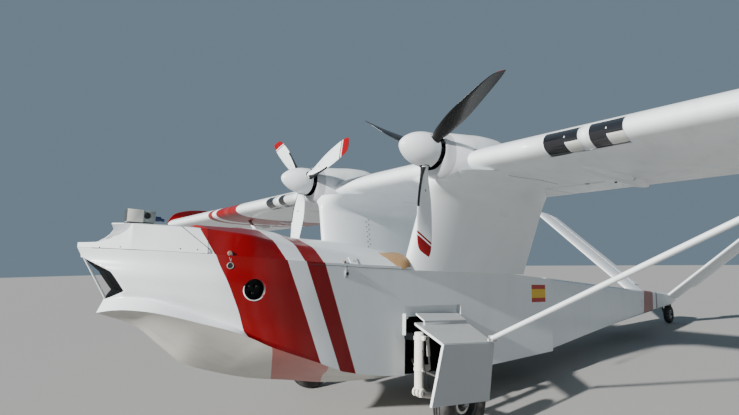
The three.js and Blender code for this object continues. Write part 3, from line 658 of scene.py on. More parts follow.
hull_paint = aircraft_paint("hull_paint", livery=hull_livery)
bottom_paint = aircraft_paint("bottom_paint", SHADED_BOTTOM_WHITE, livery=bottom_stripes, grime=0.3)
tail_paint = aircraft_paint("tail_paint", livery=tail_bands)
wing_paint = aircraft_paint("wing_paint", livery=wing_livery, lines=glove_lines, grime=0.15)
white_paint = aircraft_paint("white_paint")
red_paint = aircraft_paint("red_paint", RED)
# Darker grey of the outrigger's outer side: painted shade on its white
plate_paint = aircraft_paint("plate_paint", (0.38, 0.40, 0.42), grime=0.15)
nacelle_paint = aircraft_paint("nacelle_paint", livery=cowl_grey, lines=glove_lines)
blade_paint = aircraft_paint("blade_paint", livery=blade_marks, grime=0.05)
black_moulding = plain("black_moulding", (0.012, 0.012, 0.014), 0.55)
# Near black: the mouth's black lining, and painted shade deep in the wheel bays, inside the cowl's mouth and
# on the leg's parts up in its bay
dark_bay = plain("dark_bay", (0.006, 0.007, 0.008), 0.9, vary=0.3, shine=0.05)
seal_rubber = plain("seal_rubber", (0.045, 0.045, 0.048), 0.7)
box_front = plain("box_front", (0.028, 0.034, 0.032), 0.6)
latch_tan = plain("latch_tan", (0.22, 0.15, 0.10), 0.6)
camera_grey = plain("camera_grey", (0.27, 0.30, 0.29), 0.45)
# Lighter grey of the outrigger's top plates: painted shade on their white
plate_top = aircraft_paint("plate_top", (0.46, 0.48, 0.49), grime=0.15)
lamp_window = plain("lamp_window", (0.66, 0.67, 0.63), 0.15, coat=0.6, grain=18.0, depth=0.004, vary=0.25)
band_black = plain("band_black", (0.010, 0.011, 0.014), 0.16, coat=0.8, depth=0.0002)
grey_satin = plain("grey_satin", GREY, 0.42)
rim_dark = plain("rim_dark", (0.055, 0.058, 0.060), 0.5)
steel = plain("steel", (0.52, 0.53, 0.54), 0.32, metallic=1.0)
bright_steel = plain("bright_steel", (0.80, 0.81, 0.82), 0.12, metallic=1.0, depth=0.0001)
cast_alloy = plain("cast_alloy", (0.50, 0.51, 0.52), 0.45, metallic=0.9, grain=140.0)
leg_paint = plain("leg_paint", (0.78, 0.75, 0.68), 0.38, coat=0.1, vary=0.06)
tyre_rubber = rubber("tyre_rubber")
tan_laminate = composite_sheet("tan_laminate")
fitting_blue = plain("fitting_blue", (0.02, 0.035, 0.12), 0.45)
box_cream = plain("box_cream", (0.88, 0.86, 0.77), 0.5, vary=0.05)


# Hull

# Plans of the bow: half width by distance aft of a row's own stem
BOW = curve((0, 0), (0.28, 0.28), (0.56, 0.47), (0.86, 0.61), (1.16, 0.68), (1.46, HULL_W))
CHINE_PLAN = curve((0, 0), (0.03, 0.09), (0.08, 0.18), (0.16, 0.275), (0.30, 0.38), (0.56, 0.49),
                   (0.86, 0.61), (1.16, 0.68), (1.46, HULL_W))
LIP_PLAN = curve((0, 0), (0.04, 0.09), (0.10, 0.165), (0.20, 0.24), (0.34, 0.33), (0.56, 0.44),
                 (0.86, 0.585), (1.16, 0.67), (1.46, HULL_W))
BOW_END = -1.20
KEEL = curve((-2.595, 1.052), (-2.355, 0.960), (-2.154, 0.795), (-1.981, 0.654), (-1.712, 0.556),
             (-1.402, 0.473), (-1.008, 0.408), (-0.679, 0.350), (-0.317, 0.314), (0, 0.300),
             (0.54, 0.290), (0.56, 0.345), (JOINT_Y, 0.390))
CHINE = curve((-2.60, 1.056), (-2.545, 1.078), (-2.475, 1.086), (-2.408, 1.082), (-2.337, 1.073),
              (-2.195, 1.040), (-2.034, 0.995), (-1.85, 0.942), (-1.70, 0.880), (-1.594, 0.828),
              (-1.372, 0.745), (-1.17, 0.673), (-0.93, 0.582), (-0.37, 0.487), (0.545, 0.43),
              (JOINT_Y, 0.47))
SEAM = curve((-2.76, 1.505), (-2.10, 1.481), (-1.21, 1.451), (0.48, 1.437), (1.69, 1.398),
             (JOINT_Y, 1.361))
# Rows of the side from chine to deck seam: stem place, plan of the bow, height by place
SIDE_ROWS = [
    (-2.600, CHINE_PLAN, CHINE),
    (-2.560, LIP_PLAN, curve((-2.56, 1.150), (-2.489, 1.170), (-2.411, 1.169), (-2.329, 1.162),
                             (-2.176, 1.113), (-1.963, 1.027), (-1.80, 0.960), (-1.70, 0.905),
                             (-1.5, 0.825), (-1.2, 0.705), (-0.93, 0.61), (-0.37, 0.53), (0, 0.50),
                             (JOINT_Y, 0.52))),
    (-2.670, BOW, curve((-2.67, 1.215), (-2.48, 1.212), (-2.2, 1.17), (-1.98, 1.12), (-1.6, 1.03),
                        (-1.2, 0.93), (JOINT_Y, 0.80))),
    (-2.760, BOW, curve((-2.76, 1.345), (-2.1, 1.31), (-1.2, 1.20), (JOINT_Y, 1.05))),
    (-2.718, BOW, curve((-2.718, 1.438), (-2.1, 1.40), (-1.2, 1.30), (JOINT_Y, 1.18))),
    (-2.753, BOW, SEAM),
]
BOTTOM_HOLLOW = 0.022
# Opening under the beak, seen from the side
MOUTH = [(-2.95, 1.437), (-2.716, 1.437), (-2.573, 1.343), (-2.481, 1.210), (-2.556, 1.150), (-2.95, 1.150)]
# Wheel bays in the hull's sides: front and rear, foot, then depth and top of their deep and shallow part
BAY_Y, BAY_FOOT, BAY_PARTS = (-0.255, 0.540), 0.380, ((0.240, 0.985), (0.045, 1.085))


def hull_ring(share, station):
    side = []
    for stem, plan, height in SIDE_ROWS:
        y = lerp(stem, BOW_END, share) if share < 1 else station
        width = plan(y - stem)
        if y > BOW_END:
            width = lerp(width, HULL_W, min(1, (y - BOW_END) / 0.5))
        side.append(Vector((width, y, height(y))))
    keel_y = lerp(-2.595, BOW_END, share) if share < 1 else station
    keel = Vector((0, keel_y, KEEL(keel_y)))
    bottom = []
    for i in range(8):
        t = i / 8
        sag = BOTTOM_HOLLOW * math.sin(math.pi * t) * min(1, side[0].x / HULL_W)
        bottom.append(keel.lerp(side[0], t) + Vector((0, 0, sag)))
    lip_edge = rounded(side[:3], 0.012, 3)
    cheek = rounded(side[1:], 0.06, 4)
    return whole(bottom + lip_edge[:-1] + filled(cheek[1:], 3))


def lower_hull():
    shares = sorted([(i / 32) ** 1.4 for i in range(33)] + spread(0.585, 0.695, 12))
    stations = [-1.08, -0.95, -0.82, -0.70, -0.50, -0.25, 0, 0.25, 0.535, 0.565, 0.9, 1.3, 1.8,
                JOINT_Y - SEAT]
    rings = [hull_ring(share, BOW_END) for share in shares] + [hull_ring(1, y) for y in stations]
    shell = dressed(skin("hull_shell", rings, 26), hull_paint)
    # Faces under the chine that look down take the bottom's paint, which holds painted shade
    assign(shell, bottom_paint, lambda c, n: c.z < CHINE(c.y) - 0.0005 and n.z < -0.05)
    tools = [skin("mouth", [[Vector((x, y, z)) for y, z in MOUTH] for x in (-HULL_W, HULL_W)])]
    (front, rear), (_, deep_top), (shallow, _) = BAY_Y, *BAY_PARTS
    for sign in (-1, 1):
        for depth, top in BAY_PARTS:
            inner, outer = sorted((sign * (HULL_W - depth), sign * (HULL_W + 0.06)))
            tools.append(block("bay", (inner, front, BAY_FOOT), (outer, rear, top), 0))
    # The cuts' walls take near black: black paint in the mouth, painted shade in the bays
    for tool in tools:
        cut(shell, tool, dark_bay)
    # A bay's shallow part is painted, but for its front and rear walls; those and its deep part stay near
    # black, painted shade
    assign(shell, hull_paint, lambda c, n: abs(c.x) > HULL_W - shallow - 0.001
           and front - 0.001 < c.y < rear + 0.001 and (abs(n.x) > 0.9 or c.z > deep_top + 0.001))
    port = rod("port_hole", PORT - PORT_OUT * PORT_DEPTH, PORT + PORT_OUT * 0.060, PORT_R, 48)
    cut(shell, port, black_moulding)
    return shell


# Round hole in the port side with three sockets on its back plate
PORT, PORT_OUT = Vector((0.646, -1.731, 1.237)), Vector((0.978, -0.207, 0)).normalized()
PORT_ALONG = Vector((-PORT_OUT.y, PORT_OUT.x, 0))
PORT_DEPTH, PORT_R = 0.115, 0.075
SOCKETS = [(-0.026, 0.020), (0.026, 0.020), (0, -0.030)]


# Deck by place: seam width and height, edge width and height, hump width and height, crown height
DECK_ROWS = [
    (-2.05, 0.540, 1.460, 0.520, 1.657, 0.300, 1.700, 1.705),
    (-1.71, 0.650, 1.455, 0.600, 1.623, 0.330, 1.700, 1.725),
    (-1.56, 0.672, 1.447, 0.600, 1.596, 0.330, 1.695, 1.742),
    (-1.43, 0.688, 1.440, 0.600, 1.584, 0.330, 1.690, 1.742),
    (-1.34, 0.694, 1.435, 0.600, 1.578, 0.330, 1.675, 1.715),
    (-1.28, 0.699, 1.432, 0.600, 1.573, 0.330, 1.660, 1.695),
    (-0.95, 0.699, 1.426, 0.600, 1.553, 0.330, 1.650, 1.687),
    (-0.68, 0.699, 1.420, 0.605, 1.537, 0.330, 1.648, 1.686),
    (-0.45, 0.699, 1.420, 0.610, 1.520, 0.330, 1.628, 1.664),
    (-0.10, 0.699, 1.415, 0.610, 1.494, 0.330, 1.583, 1.615),
    (0.40, 0.699, 1.415, 0.620, 1.462, 0.330, 1.510, 1.530),
    (0.70, 0.699, 1.410, 0.630, 1.448, 0.330, 1.470, 1.482),
    (1.69, 0.699, 1.375, 0.640, 1.406, 0.330, 1.412, 1.414),
    (JOINT_Y, 0.699, 1.340, 0.640, 1.368, 0.330, 1.374, 1.376),
]


def deck_shell():
    columns = table_curves(DECK_ROWS)
    rings = []
    for y in spread(-2.05, -1.05, 40) + spread(-1.0, JOINT_Y - SEAT, 44):
        seam_w, seam_z, edge_w, edge_z, hump_w, hump_z, crown = [column(y) for column in columns]
        corner = lerp(0.015, 0.050, min(1, (y + 2.05) / 0.7))
        half = [(0, y, crown), (hump_w, y, hump_z), (edge_w, y, edge_z), (seam_w, y, seam_z)]
        rings.append(whole(rounded(half, corner, 6)))
    return dressed(skin("deck_shell", rings, 26), hull_paint)


# Lines across the nose hatch: edge point, then the point on the middle plane
HATCH_LINES = [
    ((0.004, -2.752, 1.538), (-2.752, 1.538)),
    ((0.055, -2.704, 1.540), (-2.708, 1.541)),
    ((0.108, -2.650, 1.543), (-2.655, 1.543)),
    ((0.160, -2.602, 1.562), (-2.600, 1.552)),
    ((0.215, -2.550, 1.593), (-2.545, 1.572)),
    ((0.250, -2.508, 1.628), (-2.520, 1.599)),
    ((0.268, -2.492, 1.650), (-2.505, 1.637)),
    ((0.278, -2.484, 1.664), (-2.530, 1.664)),
    ((0.283, -2.480, 1.669), (-2.556, 1.684)),
    ((0.286, -2.474, 1.672), (-2.553, 1.691)),
    ((0.305, -2.440, 1.671), (-2.440, 1.699)),
    ((0.360, -2.350, 1.667), (-2.350, 1.702)),
    ((0.425, -2.250, 1.664), (-2.250, 1.703)),
    ((0.478, -2.150, 1.660), (-2.150, 1.704)),
    ((0.520, -2.0503, 1.657), (-2.0503, 1.705)),
]
HATCH_SEAM_W = curve((-2.752, 0.006), (-2.65, 0.109), (-2.56, 0.198), (-2.485, 0.270), (-2.26, 0.425),
                     (-2.05, 0.541))


def nose_hatch():
    rings = []
    for edge, (middle_y, middle_z) in HATCH_LINES:
        edge = Vector(edge)
        middle = Vector((0, middle_y, middle_z))
        seam = Vector((HATCH_SEAM_W(edge.y), edge.y, SEAM(edge.y) + 0.0014))
        bow_edge = Vector((edge.x * 0.55, lerp(edge.y, middle.y, 0.45), lerp(edge.z, middle.z, 0.60)))
        across = through([middle, bow_edge, edge], 6)
        side = [edge.lerp(seam, i / 5) for i in range(1, 6)]
        rings.append(whole(across + side))
    shell = dressed(skin("nose_hatch_shell", rings, 30), hull_paint)
    # The steep face below the roof's front edge is painted grey, for the shade under the roof's overhang
    assign(shell, grey_satin, lambda c, n: n.y < -0.5 and -2.57 < c.y < -2.47 and abs(c.x) < 0.26
           and 1.59 < c.z < 1.68 and abs(c.x) < HATCH_SEAM_W(c.y) - 0.008)
    return shell


HATCH_EDGE_X, HATCH_EDGE_Z = [curve(*[(edge[1], edge[i]) for edge, _ in HATCH_LINES]) for i in (0, 2)]
HATCH_SCREWS, SCREW_UP = [-2.640, -2.535, -2.210, -2.110], 0.14
# Line across the side at the hatch's rear end
HATCH_REAR = [(0.449, -2.207, 1.664), (0.481, -2.150, 1.612), (0.507, -2.100, 1.568),
              (0.531, -2.060, 1.532), (0.543, -2.037, 1.508), (0.546, -2.036, 1.490),
              (0.541, -2.055, 1.481)]


def hatch_side(y, share):
    """Point of the hatch's side, from its seam up to its edge"""
    seam = Vector((HATCH_SEAM_W(y), y, SEAM(y)))
    return seam.lerp(Vector((HATCH_EDGE_X(y), y, HATCH_EDGE_Z(y))), share)


def hatch_fastenings():
    """Screws along the hatch's port seam and the line at its rear end"""
    pieces = [dressed(tube("hatch_line", HATCH_REAR, 0.0022, 8, 3), seal_rubber)]
    for y in HATCH_SCREWS:
        place = hatch_side(y, SCREW_UP)
        along = hatch_side(y + 0.01, SCREW_UP) - hatch_side(y - 0.01, SCREW_UP)
        out = along.cross(hatch_side(y, 0.3) - place).normalized()
        if out.x < 0:
            out = -out
        screw = rod("screw", place - out * 0.003, place + out * 0.0012, 0.0048, 14, 0.0006)
        pieces.append(dressed(screw, black_moulding))
    return joined("hatch_fastenings", pieces)


POST_FOOT, POST_R = 0.892, 0.046      # tail wheel post, which meets the fork's stem
# Rear hull: place, half width, top height, shoulder height, side foot height, keel height
REAR_ROWS = [
    (JOINT_Y, 0.700, 1.375, 1.360, 0.462, 0.390),
    (4.600, 0.570, 1.270, 1.255, 0.655, 0.600),
    (6.800, 0.440, 1.172, 1.158, 0.812, 0.775),
    (7.800, 0.360, 1.132, 1.112, 0.875, 0.850),
    (8.650, 0.225, 1.082, 1.060, 0.925, 0.915),
    (8.800, 0.165, 1.062, 1.045, 0.942, 0.934),
    (8.860, 0.085, 1.045, 1.030, 0.962, 0.955),
]


def rear_hull():
    columns = table_curves(REAR_ROWS)
    rings = []
    for y in spread(JOINT_Y, 8.5, 30) + [8.62, 8.72, 8.78, 8.82, 8.845, 8.86]:
        width, top, shoulder, foot, keel = [column(y) for column in columns]
        half = rounded([(0, y, keel), (width * 0.86, y, foot), (width, y, foot + 0.04), (width, y, shoulder),
                        (width * 0.92, y, top), (0, y, top)], 0.02, 3)
        rings.append(whole(half[:-1]))
    shell = dressed(skin("rear_hull_shell", rings, 28), tail_paint)
    post = rod("post", (0, SWIVEL.y + 0.001, POST_FOOT), (0, SWIVEL.y - 0.002, 0.95), POST_R, 32, 0.003)
    return joined("rear_hull_shell", [shell, dressed(post, steel)])


# Wing

def half_thickness(s, thick):
    """Half thickness of a section at a share of its chord, in chords"""
    return 5 * thick * (0.2969 * math.sqrt(s) - 0.126 * s - 0.3516 * s ** 2 + 0.2843 * s ** 3
                        - 0.1015 * s ** 4)


def mean_height(s):
    """Height of the wing's mean line at a share of its chord, in chords"""
    if s < CAMBER_PEAK:
        return WING_CAMBER / CAMBER_PEAK ** 2 * (2 * CAMBER_PEAK * s - s * s)
    return WING_CAMBER / (1 - CAMBER_PEAK) ** 2 * (1 - 2 * CAMBER_PEAK + 2 * CAMBER_PEAK * s - s * s)


def section_steps(steps, end=1.0):
    """Shares of the chord up to an end, closer together near the leading edge"""
    return [end * (1 - math.cos(0.5 * math.pi * i / steps)) for i in range(steps + 1)]


def section(point, shares, nose=()):
    """Ring from the last share over the upper side to the front, round a nose if given, and back below"""
    upper = [point(s, 1) for s in reversed(shares)]
    lower = [point(s, -1) for s in shares]
    return upper + (nose + lower if nose else lower[1:])


def wing_point(x, s, side, inset=0.0):
    """Point of the wing's skin: share of the chord, and 1 for the top or -1 for the underside"""
    height = mean_height(s) + side * half_thickness(s, WING_THICK)
    return Vector((x, WING_LE_Y + s * CHORD, WING_LE_Z + (WING_SLOPE * s + height) * CHORD - side * inset))


def wing_ring(x, end=1.0):
    return section(lambda s, side: wing_point(x, s, side), section_steps(22, end))


def share_of(y):
    return (y - WING_LE_Y) / CHORD


NOSE_R = (wing_point(0, share_of(HINGE.y), 1).z - wing_point(0, share_of(HINGE.y), -1).z) / 2 - 0.003
SPAR_Y = HINGE.y - NOSE_R - 0.006
FLAP_X = (NACELLE_OUT_X + 0.012, 4.180)
AILERON_X = (4.192, PANEL_TIP_X - 0.012)
# Light bays in the leading edge of each wing: inner and outer side, and where the black cover meets
# the clear window, which lies to port of it
LIGHT_BAYS = {
    1: [(1.946, 2.220, 2.115), (2.298, 2.535, 2.420)],
    -1: [(1.820, 2.135, 1.985), (2.215, 2.500, 2.290)],
}
BAY_TOP, BAY_UNDER = 0.030, 0.060      # shares of the chord where a bay ends above and below


def edge_slice(name, x0, x1, top, under, inset, depth=0.030):
    """Piece of the wing's leading edge between two places, to a depth behind the skin"""
    rings = []
    for x in (x0, x1):
        upper = [wing_point(x, top * i / 8, 1, inset) + Vector((0, inset, 0)) for i in range(8, 0, -1)]
        lower = [wing_point(x, under * i / 8, -1, inset) + Vector((0, inset, 0)) for i in range(0, 9)]
        back = WING_LE_Y + max(top, under) * CHORD + depth
        rings.append(upper + lower + [Vector((x, back, lower[-1].z)), Vector((x, back, upper[0].z))])
    return skin(name, rings)


def landing_lights(sign):
    """Black covers of a wing's light bays, the clear windows beside them and their frames"""
    pieces = []
    for low, high, split in LIGHT_BAYS[sign]:
        inner, outer = low + 0.004, high - 0.004
        if sign > 0:
            dark, clear, bar, window_top = (inner, split), (split, outer), (split, split + 0.006), 0.003
            pieces.append(dressed(edge_slice("cover", *clear, BAY_TOP, 0.004, 0.0015, 0.045), band_black))
        else:
            dark, clear, bar, window_top = (split, outer), (inner, split), (split - 0.006, split), BAY_TOP
        pieces += [
            dressed(edge_slice("cover", *dark, BAY_TOP, BAY_UNDER, 0.0015), band_black),
            dressed(edge_slice("window", *clear, window_top, BAY_UNDER, 0.0040, 0.020), lamp_window),
            dressed(edge_slice("frame", *bar, window_top, BAY_UNDER, 0.0022, 0.018), white_paint),
            dressed(edge_slice("frame", low - 0.010, inner, BAY_TOP, BAY_UNDER, -0.0006, 0.010), white_paint)]
    return joined("landing_lights", pieces)


def wing_panel(sign):
    """Wing between nacelle and tip, ahead of the flap and the aileron"""
    start, end = NACELLE_OUT_X + SEAT, PANEL_TIP_X - SEAT
    rings = [wing_ring(x, end=share_of(SPAR_Y)) for x in spread(start, end, 14)]
    panel = dressed(skin("wing_panel", rings, 26), wing_paint)
    for low, high, _ in LIGHT_BAYS[sign]:
        tool = edge_slice("light_bay", low, high, BAY_TOP * 1.02, BAY_UNDER * 1.02, -0.004, 0.05)
        cut(panel, tool, white_paint)
    return panel


# Wide fairing of the flap's inner hinge, in rows of place, half width and depth. Its fixed part ends
# in a hollow round the hinge, of radius FAIRING_R and a little more. The places of its moving part
# count from FAIRING_LINE ahead of the hinge.
FAIRING_X, FAIRING_R, FAIRING_LINE = 2.030, 0.130, 0.012
FIXED_ROWS = [(0.45, 0.010, 0.003), (0.52, 0.045, 0.014), (0.62, 0.075, 0.025), (0.78, 0.100, 0.036),
              (0.95, 0.112, 0.043), (1.08, 0.115, 0.046), (1.16, 0.115, 0.047)]
MOVING_ROWS = [(0.014, 0.106, 0.036), (0.12, 0.106, 0.045), (0.27, 0.085, 0.040), (0.41, 0.060, 0.030),
               (0.52, 0.038, 0.020), (0.57, 0.024, 0.012), (0.60, 0.008, 0.004)]


def fairing_ring(y, width, drop):
    roof = wing_point(FAIRING_X, min(1.0, share_of(y)), -1).z + min(0.010, max(0.001, (1.80 - y) * 0.05))
    return [Vector((FAIRING_X + width * math.cos(a), y, roof - (drop + 0.010) * math.sin(a) ** 0.8))
            for a in spread(0, math.pi, 15)]


def fixed_fairing():
    rings = [fairing_ring(*row) for row in FIXED_ROWS]
    last = fairing_ring(HINGE.y - 0.1, *FIXED_ROWS[-1][1:])
    for p in last:
        p.y = HINGE.y - math.sqrt(max(0.03 ** 2, (FAIRING_R + 0.006) ** 2 - (HINGE.z - p.z) ** 2))
    fairing = dressed(skin("fixed_fairing", rings + [last], 40), white_paint)
    cap = rod("grease_cap", (FAIRING_X, 1.12, 2.29), (FAIRING_X, 1.12, 2.245), 0.012, 20)
    return joined("fixed_fairing", [fairing, dressed(cap, black_moulding)])


def moving_fairing():
    rings = [fairing_ring(HINGE.y - FAIRING_LINE + back, width, drop) for back, width, drop in MOVING_ROWS]
    return dressed(skin("moving_fairing", rings, 40), white_paint)


# Slim hinge fairings of the flap and the aileron: their places, and rows of distance ahead of the
# spar, half width and depth
BRACKETS = (3.70, 4.65, 6.30)
BRACKET_ROWS = [(0.345, 0.004, 0.004), (0.285, 0.020, 0.022), (0.175, 0.027, 0.040),
                (0.055, 0.027, 0.046), (0.020, 0.020, 0.036), (0.006, 0.010, 0.016)]


def hinge_brackets():
    """Slim hinge fairings under the wing, each with a dark actuator socket"""
    bodies, sockets = [], []
    for x in BRACKETS:
        rings = []
        for ahead, width, drop in BRACKET_ROWS:
            y = SPAR_Y - ahead
            roof = wing_point(x, share_of(min(y, SPAR_Y - 0.002)), -1).z + 0.012
            rings.append([Vector((x + width * i, y, roof - (drop + 0.012) * j))
                          for i, j in ((-1, 0), (-1, 0.6), (-0.6, 1), (0.6, 1), (1, 0.6), (1, 0))])
        bodies.append(dressed(smooth(skin("bracket", rings), 40), white_paint))
        floor = wing_point(x, share_of(SPAR_Y - 0.13), -1).z - 0.0415
        socket = block("socket", (x - 0.016, SPAR_Y - 0.16, floor - 0.004),
                       (x + 0.016, SPAR_Y - 0.10, floor + 0.01), 0.002)
        sockets.append(dressed(socket, black_moulding))
    return joined("hinge_fairings", bodies + sockets)


COLLAR_LIFT = 0.0055      # how far a hinge collar stands out of the round nose that it sits on


def trailing_part(name, x0, x1):
    """Flap or aileron: the wing's section behind the hinge line, with a round nose and two collars"""
    rings, shares = [], spread(share_of(HINGE.y), 1.0, 14)
    for x in spread(x0, x1, 9):
        nose = [Vector((x, HINGE.y - NOSE_R * math.sin(a), HINGE.z + NOSE_R * math.cos(a)))
                for a in spread(0.0, math.pi, 13)]
        rings.append(section(lambda s, side: wing_point(x, s, side), shares, nose))
    pieces = [dressed(skin(name, rings, 26), wing_paint)]
    for x in (x0 + 0.4, x1 - 0.4):
        collar = rod("collar", (x - 0.02, HINGE.y, HINGE.z), (x + 0.02, HINGE.y, HINGE.z),
                     NOSE_R + COLLAR_LIFT, 40, 0.002)
        pieces.append(dressed(collar, steel))
    return joined(name, pieces)


# Side outline of the upright plate at the wing's end
FENCE = [(-0.045, 2.400), (0.020, 2.540), (0.155, 2.667), (0.493, 2.758), (0.963, 2.782), (1.500, 2.745),
         (1.900, 2.560), (1.930, 2.380), (1.800, 2.330), (0.900, 2.300), (0.200, 2.310)]


def wing_tip():
    outline = through([(0, y, z) for y, z in FENCE + FENCE[:1]], 4)[:-1]
    plate = skin("wing_tip", [[Vector((x, p.y, p.z)) for p in outline] for x in (TIP_X - 0.028, TIP_X)])
    soften(plate, 0.006, 3)
    end = skin("wing_end", [wing_ring(x) for x in (PANEL_TIP_X, TIP_X - 0.010)], 26)
    dressed(plate, red_paint)
    dressed(end, white_paint)
    assign(end, red_paint, lambda c, n: n.x > 0.9)
    combine(plate, end, "UNION")
    return plate


# Nacelles, engines and propellers

# Nacelle by place: half width, bottom height, top height
NACELLE = [
    (-0.238, 0.176, 2.305, 2.646),
    (-0.180, 0.190, 2.250, 2.655),
    (-0.060, 0.232, 2.222, 2.676),
    (0.120, 0.262, 2.235, 2.700),
    (0.320, 0.272, 2.262, 2.728),
    (0.520, 0.268, 2.300, 2.738),
    (0.780, 0.230, 2.340, 2.672),
    (1.100, 0.130, 2.390, 2.560),
]
ROUNDNESS = 0.85
NACELLE_SIDES = 48


def nacelle_ring(y, width, bottom, top):
    middle, rise = (top + bottom) / 2, (top - bottom) / 2
    ring = []
    for a in turns(NACELLE_SIDES):
        c, s = [math.copysign(abs(v) ** ROUNDNESS, v) for v in (math.cos(a), math.sin(a))]
        ring.append(Vector((MOTOR_X + width * c, y, middle + rise * s)))
    return ring


def nacelle_body():
    columns = table_curves(NACELLE)
    mouth = [circle_ring((MOTOR_X, y, THRUST_Z), (0, 1, 0), r, NACELLE_SIDES) for y, r in
             ((-0.110, 0.158), (-0.215, 0.163), (-0.232, 0.167))]
    lip = nacelle_ring(-0.2378, 0.171, THRUST_Z - 0.171, THRUST_Z + 0.171)
    # The mouth's rings start where the lip does and run the same way round
    for ring in mouth:
        turn = min(range(NACELLE_SIDES), key=lambda i: (ring[i] - lip[0]).length)
        forward, backward = [(ring[(turn + i) % NACELLE_SIDES] - lip[1]).length for i in (1, -1)]
        step = 1 if forward < backward else -1
        ring[:] = [ring[(turn + step * i) % NACELLE_SIDES] for i in range(NACELLE_SIDES)]
    rings = mouth + [lip]
    for y in [-0.233, -0.222] + spread(-0.20, 1.02, 26) + [1.06, 1.085, 1.10]:
        width, bottom, top = [column(y) for column in columns]
        if y < -0.23:
            width, bottom, top = 0.1745, THRUST_Z - 0.1735, THRUST_Z + 0.1735
        if y > 1.05:
            ease = math.sqrt(max(0.0, 1 - ((y - 1.05) / 0.0505) ** 2))
            middle = (bottom + top) / 2
            width, bottom, top = width * ease, lerp(middle, bottom, ease), lerp(middle, top, ease)
        rings.append(nacelle_ring(y, width, bottom, top))
    body = dressed(skin("nacelle", rings, 30), nacelle_paint)
    # Inside the cowl's mouth is near black, painted shade
    assign(body, dark_bay, lambda c, n: c.y < -0.10 and
           math.hypot(c.x - MOTOR_X, c.z - THRUST_Z) < 0.1675)
    root = skin("wing_root", [wing_ring(x) for x in (NACELLE_IN_X, NACELLE_OUT_X)], 26)
    combine(body, dressed(root, nacelle_paint), "UNION")
    return smooth(body, 30)


def engine():
    """Flat twin bank engine behind the cowl's mouth: crankcase, cylinders with fins, shaft and foot"""
    x, z = MOTOR_X, THRUST_Z
    parts = [block("case", (x - 0.085, -0.055, z - 0.115), (x + 0.085, 0.465, z + 0.118), 0.012),
             block("foot", (x - 0.05, 0.10, 2.262), (x + 0.05, 0.21, z - 0.10), 0.006),
             rod("shaft", (x, -0.05, z), (x, -0.2877, z), 0.038, 32, 0.003),
             rod("gearbox", (x, -0.05, z), (x, -0.11, z), 0.085, 40, 0.01),
             block("sump", (x - 0.06, 0.02, z - 0.118), (x + 0.06, 0.40, z - 0.09), 0.01)]
    for side in (-1, 1):
        for y in (0.05, 0.20, 0.35):
            parts.append(rod("cylinder", (x + side * 0.07, y, z), (x + side * 0.148, y, z), 0.052, 28, 0.003))
            parts += [rod("fin", (x + side * d, y, z), (x + side * (d + 0.003), y, z), 0.060, 28)
                      for d in spread(0.094, 0.134, 5)]
    return dressed(joined("engine_block", parts), cast_alloy)


# Blade by distance from the hub's middle: chord, thickness, twist in degrees
BLADE = [
    (0.060, 0.084, 0.078, 14), (0.150, 0.092, 0.070, 14), (0.260, 0.150, 0.034, 10),
    (0.480, 0.200, 0.022, 2), (0.740, 0.178, 0.015, -8), (0.900, 0.140, 0.010, -13),
    (PROP_R, 0.096, 0.007, -15),
]
TIP_SLANT = 0.055      # how far the leading corner of the tip lies inside the other
MARK_SLANT = 0.6        # how far a mark runs out along the blade for each metre across it
# Side sign, turn of the first blade and pitch of the blades, in radians
PROPS = {"port": (1, 0.534, math.radians(94)), "starboard": (-1, 0.326, math.radians(8))}


def blade(pitch):
    """One blade pointing along x from the hub's middle, white in front and black behind"""
    chord, thick, twist = table_curves(BLADE)

    def directions(reach):
        beta = pitch + math.radians(twist(reach))
        return Vector((0, math.sin(beta), math.cos(beta))), Vector((0, -math.cos(beta), math.sin(beta)))

    rings = []
    for reach in spread(0.060, 0.900, 30) + [0.925, 0.945, 0.951, PROP_R]:
        back, front = directions(reach)
        trim = 1.0 if reach < 0.946 else lerp(1.0, 0.90, (reach - 0.945) / (PROP_R - 0.945))
        slant = TIP_SLANT * max(0.0, (reach - 0.72) / (PROP_R - 0.72)) ** 1.5
        round_root = max(0.0, min(1.0, (0.24 - reach) / 0.10))
        ring = []
        for a in turns(28):
            c = 0.5 * math.cos(a) * trim
            wing = 0.5 * math.sin(a) * (1 - 0.30 * math.cos(a)) * 0.96 * trim
            t = lerp(wing, 0.5 * math.sin(a), round_root)
            along = reach + slant * (c - 0.5)
            ring.append(Vector((along, 0, 0)) + back * (c * chord(reach)) + front * (t * thick(reach)))
        rings.append(ring)
    made = dressed(skin("blade", rings, 40), blade_paint)
    rows = []
    for vertex in made.data.vertices:
        reach = vertex.co.x
        back, front = directions(reach)
        across, face = vertex.co.dot(back), vertex.co.dot(front)
        rows.append((reach, across, reach - MARK_SLANT * across, across + chord(reach) / 2, face))
    for name, values in zip(BLADE_PLACES, zip(*rows)):
        made.data.attributes.new(name, "FLOAT", "POINT").data.foreach_set("value", values)
    cuff = dressed(rod("cuff", (0.058, 0, 0), (0.150, 0, 0), 0.0445, 36, 0.003), black_moulding)
    return joined("blade", [made, cuff])


def three(piece, first):
    """Three copies of the piece at equal turns about the propeller's axis, in the plane of its blades"""
    copies = [copied(piece) for _ in range(3)]
    for copy, a in zip(copies, turns(3)):
        copy.data.transform(Matrix.Translation((0, BLADE_Y, 0)) @ Matrix.Rotation(-(first + a), 4, "Y"))
    bpy.data.objects.remove(piece)
    return copies


# Spinner: radius and place along the axis, outside then inside
SPINNER = [(0.0, -0.625), (0.018, -0.6215), (0.050, -0.600), (0.091, -0.549), (0.128, -0.475),
           (0.151, -0.388), (0.160, -0.300), (0.160, -0.2845), (0.155, -0.284), (0.152, -0.290),
           (0.152, -0.300), (0.126, -0.475), (0.0, -0.593)]
HUB = [(0, -0.390), (0.045, -0.390), (0.070, -0.380), (0.070, -0.298), (0.150, -0.298),
       (0.1517, -0.294), (0.1517, -0.289), (0.147, -0.288), (0, -0.288)]


